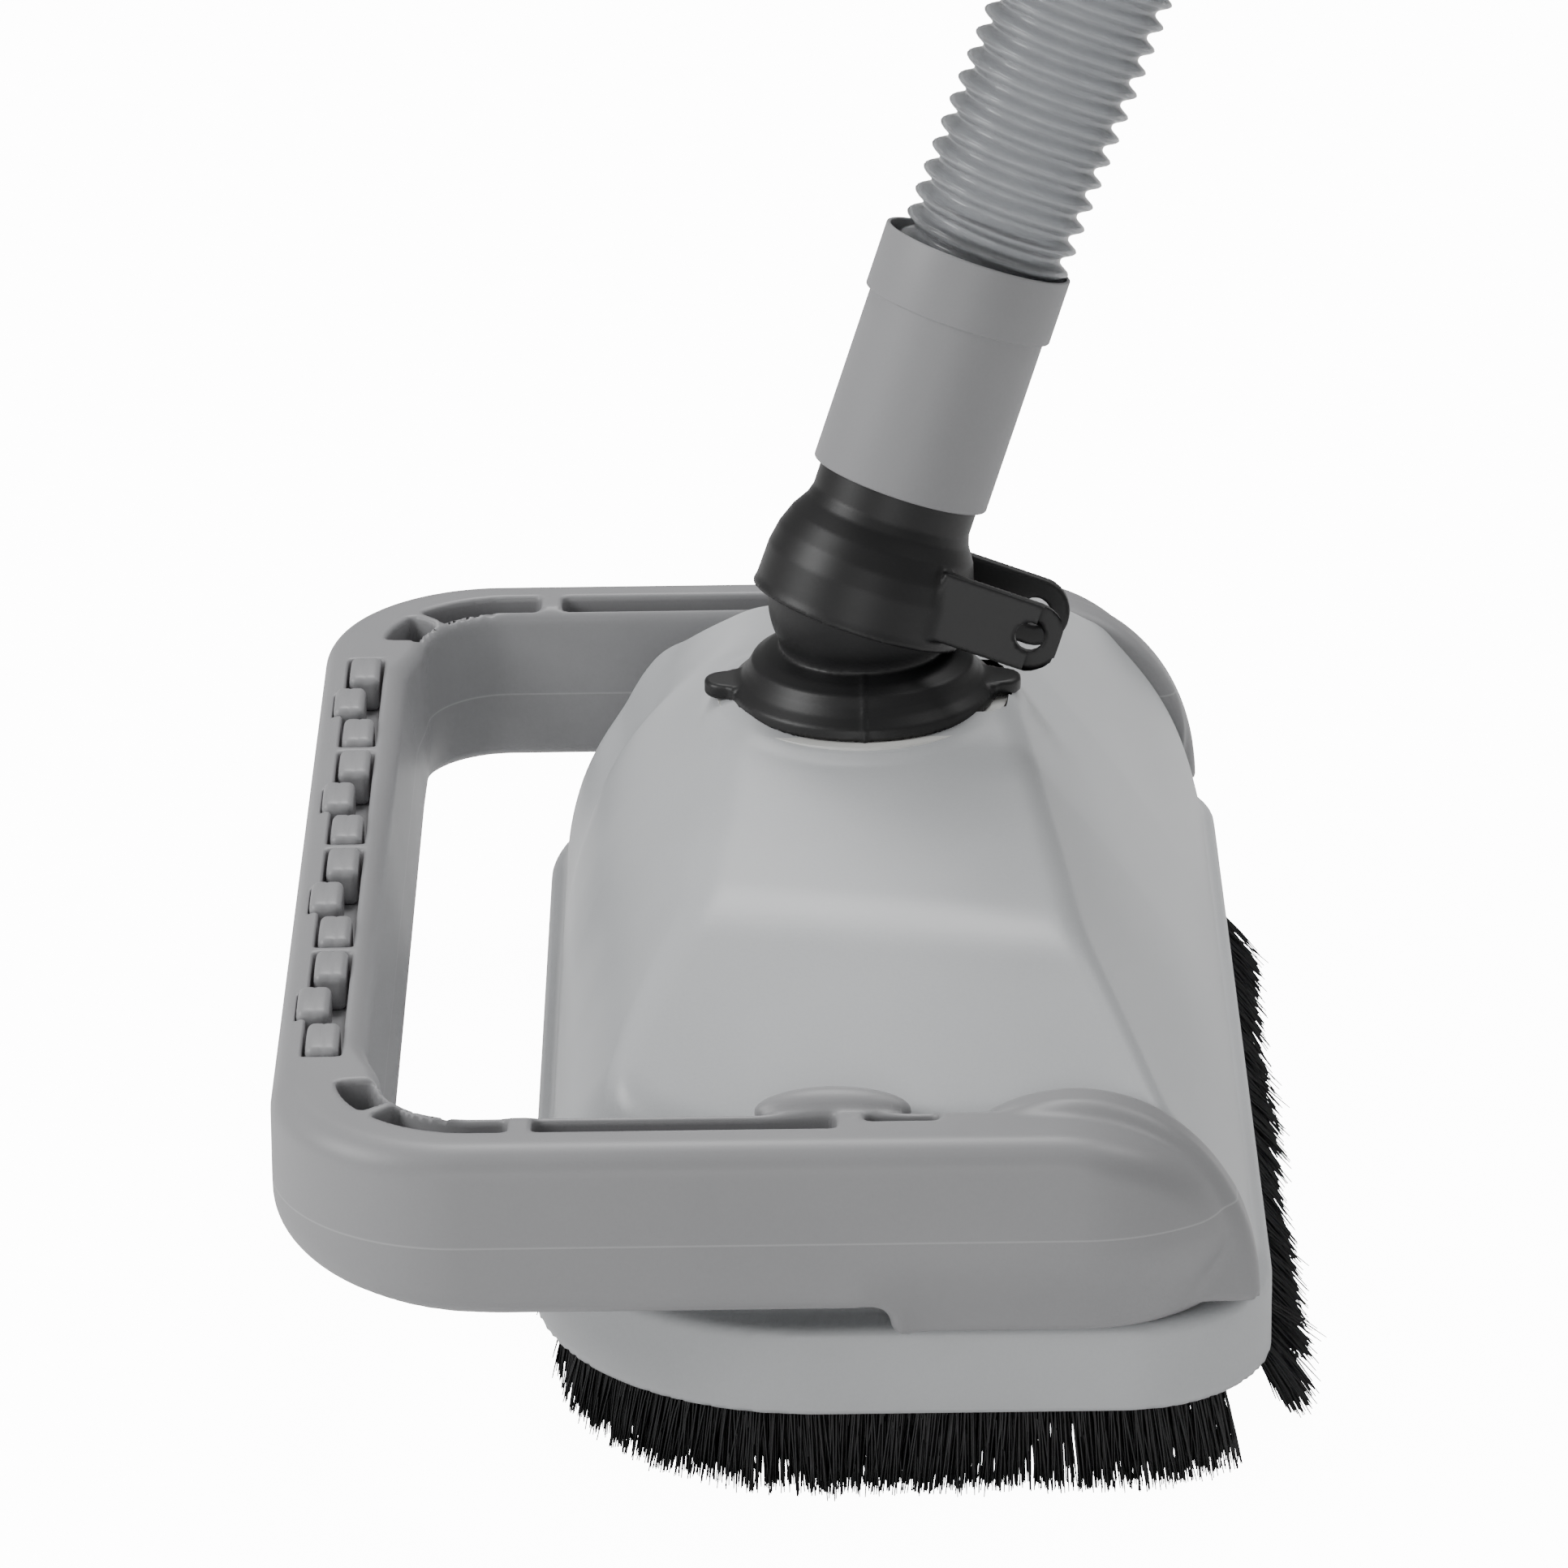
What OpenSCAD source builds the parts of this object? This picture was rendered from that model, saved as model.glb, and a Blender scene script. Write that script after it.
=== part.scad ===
// Pool cleaner head: leaning hose on a ball swivel, hipped housing, U shaped bumper, brushes.
// Frame: origin under the middle of the object, bristle tips at z = 0, grip bar towards -X.

/* [Which node] */
// Name of the node to draw, or all of them

/* [Overall] */
// Distance from the swivel axis to the front face of the grip bar
bar_reach = 154; // [146:1:162]
// Distance from the swivel axis to the rear end of the skirt
skirt_rear = 103; // [101:1:104]
// Half of the width over the two bumper arms
bumper_half = 200; // [198:1:208]
// Height of the flat seat of the swivel above the bristle tips
seat_z = 144; // [140:1:152]

/* [Housing] */
// Wall thickness of the moulded housing
wall = 2.6; // [2:0.1:3]
// Lower edge of the skirt
skirt_z0 = 23; // [22:0.5:24]
// Upper edge of the skirt band, where the bumper arms rest
skirt_z1 = 47; // [44:0.5:48]
// Front end of the skirt
skirt_front = -89; // [-91:1:-88]
// Width of the ledge of the skirt beyond the upper body at each side
skirt_ledge = 14; // [12:1:15]
// Corner radius of the skirt at the front
skirt_r_front = 75; // [70:1:80]
// Corner radius of the skirt at the rear
skirt_r_rear = 40; // [36:1:46]
// Width of the free rim of the round seat outside the swivel flange
seat_rim = 3; // [2.5:0.5:5]

/* [Bumper] */
// Top face of the bumper
bumper_top = 103; // [100:1:106]
// Underside of the front part of the bumper
bumper_low = 57; // [55:1:60]
// Thickness of an arm, seen from above
arm_t = 26; // [25:0.5:28]
// Width of the grip bar, seen from above
bar_w = 29; // [27:0.5:31]
// Outer radius of the front corners, seen from above
corner_r = 50; // [46:1:56]
// Distance of the rear end of the arms from the rear end of the skirt
arm_short = 4; // [3:0.5:6]
// Position of the step in the underside of the arms
arm_step = 4; // [0:1:10]
// Width of the pockets in the top face
pocket_w = 9.6; // [8:0.2:10]
// Depth of the pockets in the top face
pocket_d = 21; // [16:0.5:22]

/* [Bar cover] */
// Gap between two snap heads along the bar
head_gap = 5.8; // [5:0.2:8]
// Width of one snap head
head_w = 8.6; // [8:0.2:9]
// Distance of the row of snap heads from the start of the front corners
head_margin = 10.2; // [9:0.2:14]
// Height of the snap heads above the bar
head_up = 1.5; // [0.5:0.5:2.5]

/* [Swivel] */
// Radius of the flange at its foot
flange_r = 37.5; // [36:0.5:39]
// Clearance of the ball above the foot of the flange
ball_lift = 2.7; // [2:0.1:4]
// Radius of the ball
ball_r = 25.3; // [25:0.1:26]
// Radius of the water passage through ball and neck
bore_r = 17.5; // [16:0.5:18]
// Radial play of the running fits
play = 0.05; // [0.03:0.01:0.08]
// Wall of the neck and of the stem round the water passage
neck_wall = 4.5; // [4.3:0.1:4.5]
// Distance of the clevis hole from the neck axis
clevis_reach = 45.8; // [44:0.5:48]
// Distance between the middles of the two clevis arms
clevis_gap = 37; // [36:0.5:38]
// Radius of the clevis holes
clevis_hole_r = 3.9; // [3.5:0.1:4.5]
// Lean of the neck away from vertical
lean = 21.1; // [18:0.1:22]
// Direction of the lean, measured from +X towards +Y
lean_az = 25.3; // [0:0.1:60]

/* [Cuff and hose] */
// Distance of the lower edge of the cuff from the ball centre
cuff_z0 = 32.5; // [32:0.5:34]
// Distance of the mouth of the cuff from the ball centre
cuff_z1 = 99; // [97:1:102]
// Wall of the cuff round the hose
cuff_wall = 0.7; // [0.6:0.1:1.2]
// Step from the cuff out to the collar round the mouth
collar_step = 1.5; // [1.1:0.1:2.1]
// Height of the collar
collar_h = 18; // [14:1:22]
// Outer radius of the hose over its ridges
hose_r = 23.2; // [22.8:0.1:23.2]
// Distance of the near end of the hose from the ball centre
hose_z0 = 74; // [73:1:76]
// Length of the modelled stretch of hose
hose_l = 280; // [279:1:300]

/* [Brushes] */
// Radius of one tuft of bristles
tuft_r = 2.9; // [2.5:0.1:3.2]
// Spacing of the tufts
tuft_pitch = 6.4; // [6:0.2:8]
// Inset of the tuft row from the outer face of the skirt
tuft_inset = 7.5; // [7:0.5:8]
// Splay of the rear tufts away from vertical
rear_splay = 30; // [26:1:32]

/* [Oscillator] */
// Height of the oscillator pin
pin_z = 76; // [74:1:80]
// Radius of the oscillator pin
pin_r = 2.5; // [2.5:0.1:3]

/* [Hidden] */
$fn = 96;
rear_reach = skirt_rear - 1 + 26 * sin(rear_splay);
swivel_x = (bar_reach - rear_reach) / 2;
body_half = bumper_half - arm_t;
skirt_half = body_half + skirt_ledge;
seat_r = flange_r + seat_rim;
passage_r = bore_r + neck_wall;
neck_r = bore_r + neck_wall;
ball_up = ball_r + ball_lift;
ball_rim = 3.5;
ball_cut = sqrt(pow(ball_r, 2) - pow(bore_r + ball_rim, 2));
cup_r = ball_r + 3.3;
cone_neck_r = max(flange_r - 16.2, bore_r + 2);
cup_inner_r = ball_r + play;
lip_drop = min(5, cup_inner_r * sin(acos((cone_neck_r + 0.09) / cup_inner_r) - lean));
hose_fit = 0.4;
socket_r = hose_r + hose_fit;
cuff_r = max(socket_r + cuff_wall, neck_r + 2.3);
collar_r = cuff_r + collar_step;
ledge_r = min(neck_r - 2.5, hose_r - 3.7);
arm_rear = skirt_rear - arm_short;
dome_r = 54;
dome_x = arm_rear - dome_r;
arm_round = 52;
plate_z0 = skirt_z0 + 3.5;
plate_z1 = plate_z0 + 3;
washer_t = 1.9;
flange_z = seat_z + 2;
ball_z = flange_z + ball_up;
roof_under = seat_z - 3.5;
stem_z = seat_z - 16;
chamber_top = stem_z - 4;
arm_in = bumper_half - arm_t;
corner_x = -bar_reach + corner_r;
corner_y = bumper_half - corner_r;
rear_arc_x = skirt_rear - skirt_r_rear;
rear_arc_y = skirt_half - skirt_r_rear;
front_arc_x = skirt_front + skirt_r_front;
front_arc_y = skirt_half - skirt_r_front;
base_screw_xy = [[skirt_front + 19, 62], [0, body_half - 10], [skirt_rear - 24, 84]];
lug_z = [46, 96];
bumper_screw_x = [26, arm_rear - 31];
bumper_screw_z = 74;
rear_tuft_r = tuft_r - 0.5;
core_w = arm_t - 10;
core_d = 16;
head_rows = [-5.5, -4.5, -3.5, -2.5, -1.5, -0.5, 0.5, 1.5, 2.5, 3.5, 4.5, 5.5];
bar_mid = -bar_reach + 12.8;
head_pitch = (corner_y - head_margin) / 6;
head_l = head_pitch - head_gap;

// ---------- placing ----------

module in_frame() translate([swivel_x, 0, 0]) children();

module leaning() translate([swivel_x, 0, ball_z]) rotate([0, lean, lean_az]) children();

module both_sides() {
    children();
    mirror([0, 1, 0]) children();
}

// ---------- shared shapes ----------

// Plan outline with round corners, larger at the front than at the rear
module plan(x0, x1, w, r0, r1) {
    for (s = [-1, 1]) {
        translate([x0 + r0, s * (w - r0)]) circle(r0);
        translate([x1 - r1, s * (w - r1)]) circle(r1);
    }
    translate([x0, r0 - w]) square([x1 - x0, 2 * (w - r0)]);
    translate([x0 + r0, r1 - w]) square([x1 - x0 - r0, 2 * (w - r1)]);
    translate([x0 + r0, -w]) square([x1 - r1 - x0 - r0, 2 * w]);
}

// Skirt outline drawn in by the given amount
module skirt_plan(inset) {
    plan(skirt_front + inset, skirt_rear - inset, skirt_half - inset,
        skirt_r_front - inset, skirt_r_rear - inset);
}

// Rounded section: u across, z up, radii at outer top, inner top, outer foot, inner foot
module section(w, z0, z1, rot, rit, rof, rif) {
    difference() {
        translate([0, z0]) square([w, z1 - z0]);
        corner_cut(w - rot, z1 - rot, rot, 1, 1);
        corner_cut(rit, z1 - rit, rit, -1, 1);
        corner_cut(w - rof, z0 + rof, rof, 1, -1);
        corner_cut(rif, z0 + rif, rif, -1, -1);
    }
}

module corner_cut(x, y, r, sx, sy) {
    translate([x, y]) scale([sx, sy]) difference() {
        square(r + 1);
        circle(r);
    }
}

// ---------- housing ----------

// Outer form of the upper body, drawn in by the given amount
module body_form(t) {
    intersection() {
        translate([0, 0, 40]) linear_extrude(seat_z - 40)
            plan(skirt_front + 2 + t, skirt_rear - 1 - t, body_half - t, 64 - t, 32 - t);
        rotate([90, 0, 0]) translate([0, 0, -body_half - 9]) linear_extrude(2 * body_half + 18)
            side_profile(t);
        rotate([90, 0, 90]) translate([0, 0, skirt_front - 31])
            linear_extrude(skirt_rear - skirt_front + 48) end_profile(t);
    }
}

// Front and rear faces seen from the side
module side_profile(t) {
    h = seat_z - 0.5;
    f = skirt_front + 2 + t;
    r = skirt_rear - 1 - t;
    polygon([[f, 30], [f + 1, 66], [f + 3, 88 - t], [f + 7, h - 39.5 - t],
        [f + 13.5, h - 24 - t], [f + 23, h - 17 - t], [f + 34, h - 7.5 - t],
        [-seat_r + 0.5, h - t], [seat_r + 4.5, h - t], [r - 50, h - 6.5 - t],
        [r - 40, h - 21 - t], [r - 31, h - 33 - t], [r - 21, h - 46.5 - t],
        [r - 12, 82 - t], [r - 5, 66 - t], [r - 1, 50], [r, 30]]);
}

// Two roof slopes and two flank slopes seen from the front
module end_profile(t) {
    h = seat_z - 0.5;
    w = body_half;
    polygon([[-w - 20, 30], [-w - 20, 86 - t], [-w, 97 - t], [59 - w, h - 14.5 - t],
        [-seat_r + 0.5, h - t], [seat_r - 0.5, h - t], [w - 59, h - 14.5 - t],
        [w, 97 - t], [w + 20, 86 - t], [w + 20, 30]]);
}

module top_housing() {
    color("#b0b1b3") in_frame() {
        difference() {
            union() {
                body_form(0);
                translate([0, 0, skirt_z0]) linear_extrude(skirt_z1 - skirt_z0) skirt_plan(0);
                translate([0, 0, 120]) cylinder(r = seat_r, h = seat_z - 120);
            }
            difference() {
                body_form(wall);
                translate([0, 0, roof_under]) cylinder(r = seat_r, h = 10);
            }
            translate([0, 0, skirt_z0 - 1]) linear_extrude(skirt_z1 - skirt_z0 + 1 - wall)
                skirt_plan(wall);
            translate([0, 0, 100]) cylinder(r = seat_r - wall, h = roof_under - 100);
            translate([0, 0, roof_under - 1]) cylinder(r = passage_r + play, h = 10);
            bumper_screw_bores(2);
        }
        housing_bosses();
        screw_ribs();
    }
}

// Bosses that take the screws of the base plate
module housing_bosses() {
    for (p = base_screw_xy) both_sides() translate([p.x, p.y, 0]) difference() {
        translate([0, 0, plate_z1]) cylinder(r = 5.5, h = 26);
        translate([0, 0, plate_z1 - 1]) cylinder(r = 1.7, h = 20);
    }
}

// Ribs that tie the bosses to the wall
module screw_ribs() {
    both_sides() translate([skirt_front + 4, 60.5, plate_z1 + 2]) cube([11, 3, 24]);
    both_sides() translate([-1.5, body_half - 6, plate_z1 + 2]) cube([3, 5, 24]);
    both_sides() translate([skirt_rear - 20, 82.5, plate_z1 + 2]) cube([16.5, 3, 20]);
}

module bumper_screw_bores(r) {
    for (x = bumper_screw_x) both_sides() translate([x, body_half + 2, bumper_screw_z])
        rotate([90, 0, 0]) cylinder(r = r, h = 10);
}

// ---------- base ----------

module base_plate() {
    color("#232324") in_frame() difference() {
        union() {
            translate([0, 0, plate_z0]) linear_extrude(plate_z1 - plate_z0)
                skirt_plan(wall + 0.5);
            translate([-36, -28, skirt_z0 - 6]) cube([72, 56, 10]);
            for (y = [-corner_y, -112, 112, corner_y]) translate([-30, y - 1.2, plate_z1 - 1])
                cube([90, 2.4, 8]);
        }
        translate([-28, -20, 0]) cube([56, 40, 60]);
        for (p = base_screw_xy) both_sides() translate([p.x, p.y, 0]) base_screw_seat();
    }
}

module base_screw_seat() {
    translate([0, 0, plate_z0 - 1]) cylinder(r = 2.1, h = 6);
    translate([0, 0, plate_z0 - 1]) cylinder(r = 4.2, h = 1.8);
}

module base_screws() {
    color("#9a9c9e") in_frame() for (p = base_screw_xy) both_sides()
        translate([p.x, p.y, 0]) difference() {
            union() {
                translate([0, 0, plate_z0 - 1.4]) cylinder(r = 3.9, h = 2.2);
                translate([0, 0, plate_z0]) cylinder(r = 1.7, h = 15);
            }
            translate([-0.5, -2.6, plate_z0 - 2]) cube([1, 5.2, 1.6]);
            translate([-2.6, -0.5, plate_z0 - 2]) cube([5.2, 1, 1.6]);
        }
}

// Rubber lip that lines the intake mouth
module intake_rim() {
    color("#161617") in_frame() difference() {
        union() {
            translate([-28, -20, skirt_z0 - 6]) cube([56, 40, 12.5]);
            translate([-31, -23, skirt_z0 - 8.5]) cube([62, 46, 2.5]);
        }
        translate([-25.5, -17.5, 0]) cube([51, 35, 60]);
    }
}

// ---------- bumper ----------

module arm_section(z0) section(arm_t, z0, bumper_top, 8, 4, 6, 6);

// One arm with its front corner, for the side y > 0
module arm() {
    difference() {
        union() {
            translate([corner_x, arm_in, 0]) rotate([90, 0, 90])
                linear_extrude(arm_step - corner_x) arm_section(bumper_low);
            translate([arm_step, arm_in, 0]) rotate([90, 0, 90])
                linear_extrude(arm_rear - arm_step) arm_section(skirt_z1);
        }
        arm_end_cut();
        arm_end_round();
    }
    translate([corner_x, corner_y, 0]) rotate([0, 0, 90]) rotate_extrude(angle = 90)
        translate([corner_r - arm_t, 0]) arm_section(bumper_low);
}

// Domed rear end of an arm
module arm_end_cut() {
    translate([dome_x, 0, bumper_top - dome_r + 1]) rotate([-90, 0, 0])
        translate([0, 0, arm_in - 74]) difference() {
            translate([0, -90, 0]) cube([100, 90, 150]);
            translate([0, 0, -1]) cylinder(r = dome_r, h = 152);
        }
}

// Rear end of an arm drawn in round the corner of the housing, seen from above
module arm_end_round() {
    cx = arm_rear + 5 - arm_round;
    translate([cx, bumper_half - arm_round, bumper_low - 30]) linear_extrude(100) difference() {
        square(arm_round + 10);
        circle(arm_round);
    }
}

// Pockets in the top face of one arm and its corner
module arm_pockets() {
    y = arm_in + 2.4;
    translate([0, 0, bumper_top - pocket_d]) {
        translate([corner_x + 18, y, 0]) cube([-corner_x - 27, pocket_w, pocket_d + 1]);
        translate([-2, y, 0]) cube([19, pocket_w - 3, pocket_d + 1]);
        translate([corner_x, corner_y, 0]) {
            rotate([0, 0, 93]) corner_pocket(36);
            rotate([0, 0, 135]) corner_pocket(42);
        }
        translate([corner_x + 2, y, 0]) cube([12, pocket_w, pocket_d + 1]);
    }
}

module corner_pocket(a) {
    $fn = 48;
    rotate_extrude(angle = a) translate([corner_r - arm_t + 2.4, 0])
        square([pocket_w, pocket_d + 1]);
}

module bar_body() {
    translate([-bar_reach, 0, 0]) rotate([90, 0, 0])
        translate([0, 0, -corner_y]) linear_extrude(2 * corner_y)
            translate([bar_w, 0]) mirror([1, 0]) section(bar_w, bumper_low, bumper_top, 8, 5, 12, 8);
}

// Crescent that widens the inside of a front corner up to the bar
module corner_pad() {
    translate([0, 0, bumper_low + 8]) linear_extrude(bumper_top - bumper_low - 13)
        difference() {
            translate([-bar_reach + 12, corner_y - 1]) square([40, arm_in - corner_y + 6]);
            translate([-bar_reach + bar_w + 21, corner_y - 1]) circle(21);
            translate([-bar_reach + bar_w + 21, corner_y - 30]) square([40, 90]);
            translate([-bar_reach + bar_w - 1, corner_y - 25]) square([22, 24]);
        }
}

// Cored out underside of one arm and its corner
module arm_coring() {
    for (x = [[corner_x, arm_step - 6], [arm_step + 6, 18], [34, arm_rear - 39]])
        translate([x[0], arm_in + 5, bumper_low - 12]) cube([x[1] - x[0], core_w, core_d + 12]);
    translate([corner_x, corner_y, bumper_low - 1]) rotate([0, 0, 90]) rotate_extrude(angle = 90)
        translate([corner_r - arm_t + 5, 0]) square([core_w, core_d + 1]);
}

function head_x(i) = bar_mid - ((i % 3 == 1) ? 3.4 : 0);

module bar_slots() {
    for (g = [0:3]) {
        y = head_pitch * (3 * g - 5.5);
        e = head_l / 2 + 1.25;
        translate([bar_mid - 5.2, y - e, bumper_top - 9])
            cube([10.4, 2 * head_pitch + 2 * e, 12]);
    }
    for (i = [0:11]) translate([head_x(i) - 3.2, head_pitch * head_rows[i] - 6.2, 40])
        cube([6.4, 12.4, 60]);
    for (i = [1, 4, 7, 10])
        translate([head_x(i) - 4.6, head_pitch * head_rows[i] - head_l / 2 - 0.25, bumper_top - 9])
            cube([9.2, head_l + 0.5, 12]);
}

module bumper() {
    color("#8c8c8e") in_frame() difference() {
        union() {
            both_sides() arm();
            bar_body();
            both_sides() corner_pad();
        }
        both_sides() arm_pockets();
        both_sides() arm_coring();
        bar_slots();
        for (x = bumper_screw_x) both_sides() translate([x, body_half + 13, bumper_screw_z])
            rotate([90, 0, 0]) cylinder(r = 2, h = 15);
        translate([-bar_reach + 5, -corner_y, bumper_low - 1]) cube([18, 2 * corner_y, core_d + 1]);
    }
}

// Lower cover strip of the grip bar with its twelve snap prongs
module bar_cover() {
    color("#868688") in_frame() {
        translate([-bar_reach + 5.2, -corner_y + 0.2, bumper_low])
            cube([17.6, 2 * corner_y - 0.4, 3]);
        for (i = [0:11]) translate([head_x(i), head_pitch * head_rows[i], 0]) {
            translate([-3, -6, bumper_low + 2]) cube([6, 12, bumper_top - bumper_low - 4]);
            difference() {
                translate([-head_w / 2, -head_l / 2, bumper_top - 9])
                    cube([head_w, head_l, 9 + head_up]);
                snap_head_edges();
            }
        }
    }
}

module snap_head_edges() {
    for (s = [-1, 1]) translate([s * (head_w / 2 - 1.5), 0, bumper_top + head_up - 1.5])
        rotate([90, 0, 0]) translate([0, 0, -15]) linear_extrude(30)
            corner_cut(0, 0, 1.5, s, 1);
}

module bumper_screws() {
    color("#9a9c9e") in_frame() for (x = bumper_screw_x) both_sides()
        translate([x, 0, bumper_screw_z]) rotate([-90, 0, 0]) difference() {
            union() {
                translate([0, 0, body_half - wall - 2.4]) cylinder(r = 4, h = 2.4);
                translate([0, 0, body_half - wall - 1]) cylinder(r = 2, h = 15);
            }
            translate([-3, -0.5, body_half - wall - 3]) cube([6, 1, 1.8]);
        }
}

// ---------- flow chamber ----------

module chamber_half() {
    difference() {
        union() {
            translate([-34, 0, plate_z1]) cube([68, 24, chamber_top - 10.5 - plate_z1]);
            translate([0, 0, chamber_top - 12]) cylinder(r = passage_r - 0.1, h = 12);
            translate([-40, 0, plate_z1]) cube([80, 27, 3]);
            for (s = [-1, 1]) for (z = lug_z) chamber_lug(s, z);
            translate([0, 27, pin_z]) rotate([90, 0, 0]) cylinder(r = 6, h = 4);
        }
        translate([-31.5, -1, 0]) cube([63, 22.5, chamber_top - 13.5]);
        translate([0, 0, chamber_top - 24]) cylinder(r = bore_r, h = 30);
        translate([-50, -60, 20]) cube([100, 60, chamber_top - 4]);
        translate([0, 30, pin_z]) rotate([90, 0, 0]) cylinder(r = pin_r, h = 40);
        for (s = [-1, 1]) for (z = lug_z) translate([s * 38.5, 20, z])
            rotate([90, 0, 0]) cylinder(r = 1.6, h = 40);
    }
}

module chamber_lug(s, z) {
    translate([s * 38.5, 7, z]) rotate([90, 0, 0]) cylinder(r = 4.5, h = 7);
    translate([s * 36 - 3, 0, z - 4.5]) cube([6, 7, 9]);
}

module chamber_far() color("#3a3b3d") in_frame() chamber_half();

module chamber_near() color("#3a3b3d") in_frame() mirror([0, 1, 0]) chamber_half();

module chamber_screws() {
    color("#9a9c9e") in_frame() for (s = [-1, 1]) for (z = lug_z)
        translate([s * 38.5, -7, z]) rotate([-90, 0, 0]) {
            translate([0, 0, -2.2]) cylinder(r = 3, h = 2.2);
            cylinder(r = 1.6, h = 12.5);
        }
}

// Flapping valve that swings from side to side in the water stream
module oscillator() {
    color("#b9472f") in_frame() translate([0, 0, pin_z]) rotate([90, 0, 0])
        translate([0, 0, -19]) difference() {
            union() {
                cylinder(r = 7, h = 38);
                linear_extrude(38) polygon([[-5, 0], [5, 0], [10, -34], [-10, -34]]);
            }
            translate([0, 0, -1]) cylinder(r = pin_r + play, h = 40);
        }
}

module oscillator_pin() {
    color("#b4b6b8") in_frame() translate([0, 27, pin_z]) rotate([90, 0, 0])
        cylinder(r = pin_r, h = 54);
}

module pin_caps() {
    color("#3a3b3d") in_frame() both_sides() translate([0, 27, pin_z]) rotate([-90, 0, 0])
        cylinder(r = 5, h = 2);
}

module outlet_seal() {
    color("#1b1b1c") in_frame() difference() {
        translate([0, 0, chamber_top]) cylinder(r = passage_r - 0.5, h = 3.7);
        translate([0, 0, chamber_top - 1]) cylinder(r = bore_r, h = 10);
    }
}

module float_block() {
    color("#d9d3b4") in_frame() difference() {
        translate([-44, 44, 88]) cube([88, 60, 26]);
        translate([-50, 84, 108]) rotate([-16, 0, 0]) cube([110, 60, 30]);
    }
}

module ballast_weight() {
    color("#6f7276") in_frame() {
        translate([-68, -46, plate_z1]) cube([24, 92, 8]);
        for (y = [-30, 30]) translate([-56, y, plate_z1 + 8]) cylinder(r = 5, h = 3);
    }
}

// ---------- brushes ----------

// Band along the skirt, open at the rear, between two insets
module u_band(i0, i1, z, h) {
    difference() {
        translate([0, 0, z]) linear_extrude(h) skirt_plan(i0);
        translate([0, 0, z - 1]) linear_extrude(h + 2) skirt_plan(i1);
        translate([skirt_rear - 17, -skirt_half - 60, z - 1]) cube([50, 2 * skirt_half + 120, h + 2]);
    }
}

module side_brush_holder() {
    color("#1d1d1e") in_frame() difference() {
        u_band(wall + 0.5, 12, plate_z0 - 4, 4);
        u_band(tuft_inset - tuft_r - 0.3, tuft_inset + tuft_r + 0.3, plate_z0 - 5, 3);
    }
}

// Upright tufts along the given straight run
module tuft_run(x0, y0, x1, y1) {
    len_run = norm([x1 - x0, y1 - y0]);
    n = floor(len_run / tuft_pitch);
    for (i = [0:n]) translate([x0 + (x1 - x0) * i / n, y0 + (y1 - y0) * i / n, 0])
        cylinder(r = tuft_r, h = plate_z0 - 3, $fn = 24);
}

// Upright tufts along an arc
module tuft_arc(cx, cy, r, a0, a1) {
    n = floor(r * (a1 - a0) * PI / 180 / tuft_pitch);
    for (i = [0.5:1:n]) translate([cx, cy, 0]) rotate([0, 0, a0 + (a1 - a0) * i / n])
        translate([r, 0, 0]) cylinder(r = tuft_r, h = plate_z0 - 3, $fn = 24);
}

module side_bristles() {
    color("#131314") in_frame() {
        u_band(tuft_inset - tuft_r - 0.3, tuft_inset + tuft_r + 0.3, plate_z0 - 4, 2);
        tuft_run(skirt_front + tuft_inset, -front_arc_y, skirt_front + tuft_inset, front_arc_y);
        both_sides() tuft_run(front_arc_x, skirt_half - tuft_inset,
            rear_arc_x, skirt_half - tuft_inset);
        both_sides() tuft_arc(front_arc_x, front_arc_y, skirt_r_front - tuft_inset, 90, 180);
        both_sides() tuft_arc(rear_arc_x, rear_arc_y, skirt_r_rear - tuft_inset, 45, 90);
    }
}

module rear_brush_holder() {
    color("#1d1d1e") in_frame() difference() {
        translate([skirt_rear - 16, -rear_arc_y - 2, plate_z0 - 7])
            cube([12.5, 2 * rear_arc_y + 4, 7]);
        rear_tilted() translate([-tuft_r - 0.1, -rear_arc_y, -10])
            cube([2 * tuft_r + 0.2, 2 * rear_arc_y, 13.5]);
    }
}

// Frame of the splayed rear row: local z runs back up the bristles
module rear_tilted() {
    translate([skirt_rear - 3.1, 0, 26 * cos(rear_splay) - 4])
        rotate([0, -rear_splay, 0]) children();
}

module rear_bristles() {
    reach = rear_arc_y - 4;
    n = floor(2 * reach / tuft_pitch);
    color("#131314") in_frame() difference() {
        rear_tilted() {
            translate([-tuft_r, -reach - 3, 1.5]) cube([2 * tuft_r, 2 * reach + 6, 1.9]);
            for (i = [0:n]) translate([0, -reach + 2 * reach * i / n, -26])
                cylinder(r = rear_tuft_r, h = 28, $fn = 24);
        }
        translate([0, -skirt_half, -20]) cube([2 * skirt_rear, 2 * skirt_half, 20]);
    }
}

// ---------- swivel ----------

module swivel_washer() {
    color("#dcddda") in_frame() difference() {
        translate([0, 0, seat_z]) cylinder(r = flange_r + 1.8, h = washer_t);
        translate([0, 0, seat_z - 1]) cylinder(r = passage_r + 0.4, h = 5);
    }
}

module swivel_base() {
    color("#1e1e1f") in_frame() difference() {
        union() {
            translate([0, 0, flange_z]) flange_body();
            translate([0, 0, ball_z]) sphere(r = ball_r);
            translate([0, 0, stem_z]) cylinder(r = passage_r - play, h = flange_z - stem_z + 1);
            for (s = [-1, 1]) scale([s, 1, 1]) swivel_ear();
        }
        translate([0, 0, stem_z - 1]) cylinder(r = bore_r, h = 90);
        translate([-50, -50, ball_z + ball_cut]) cube([100, 100, 40]);
    }
}

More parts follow.
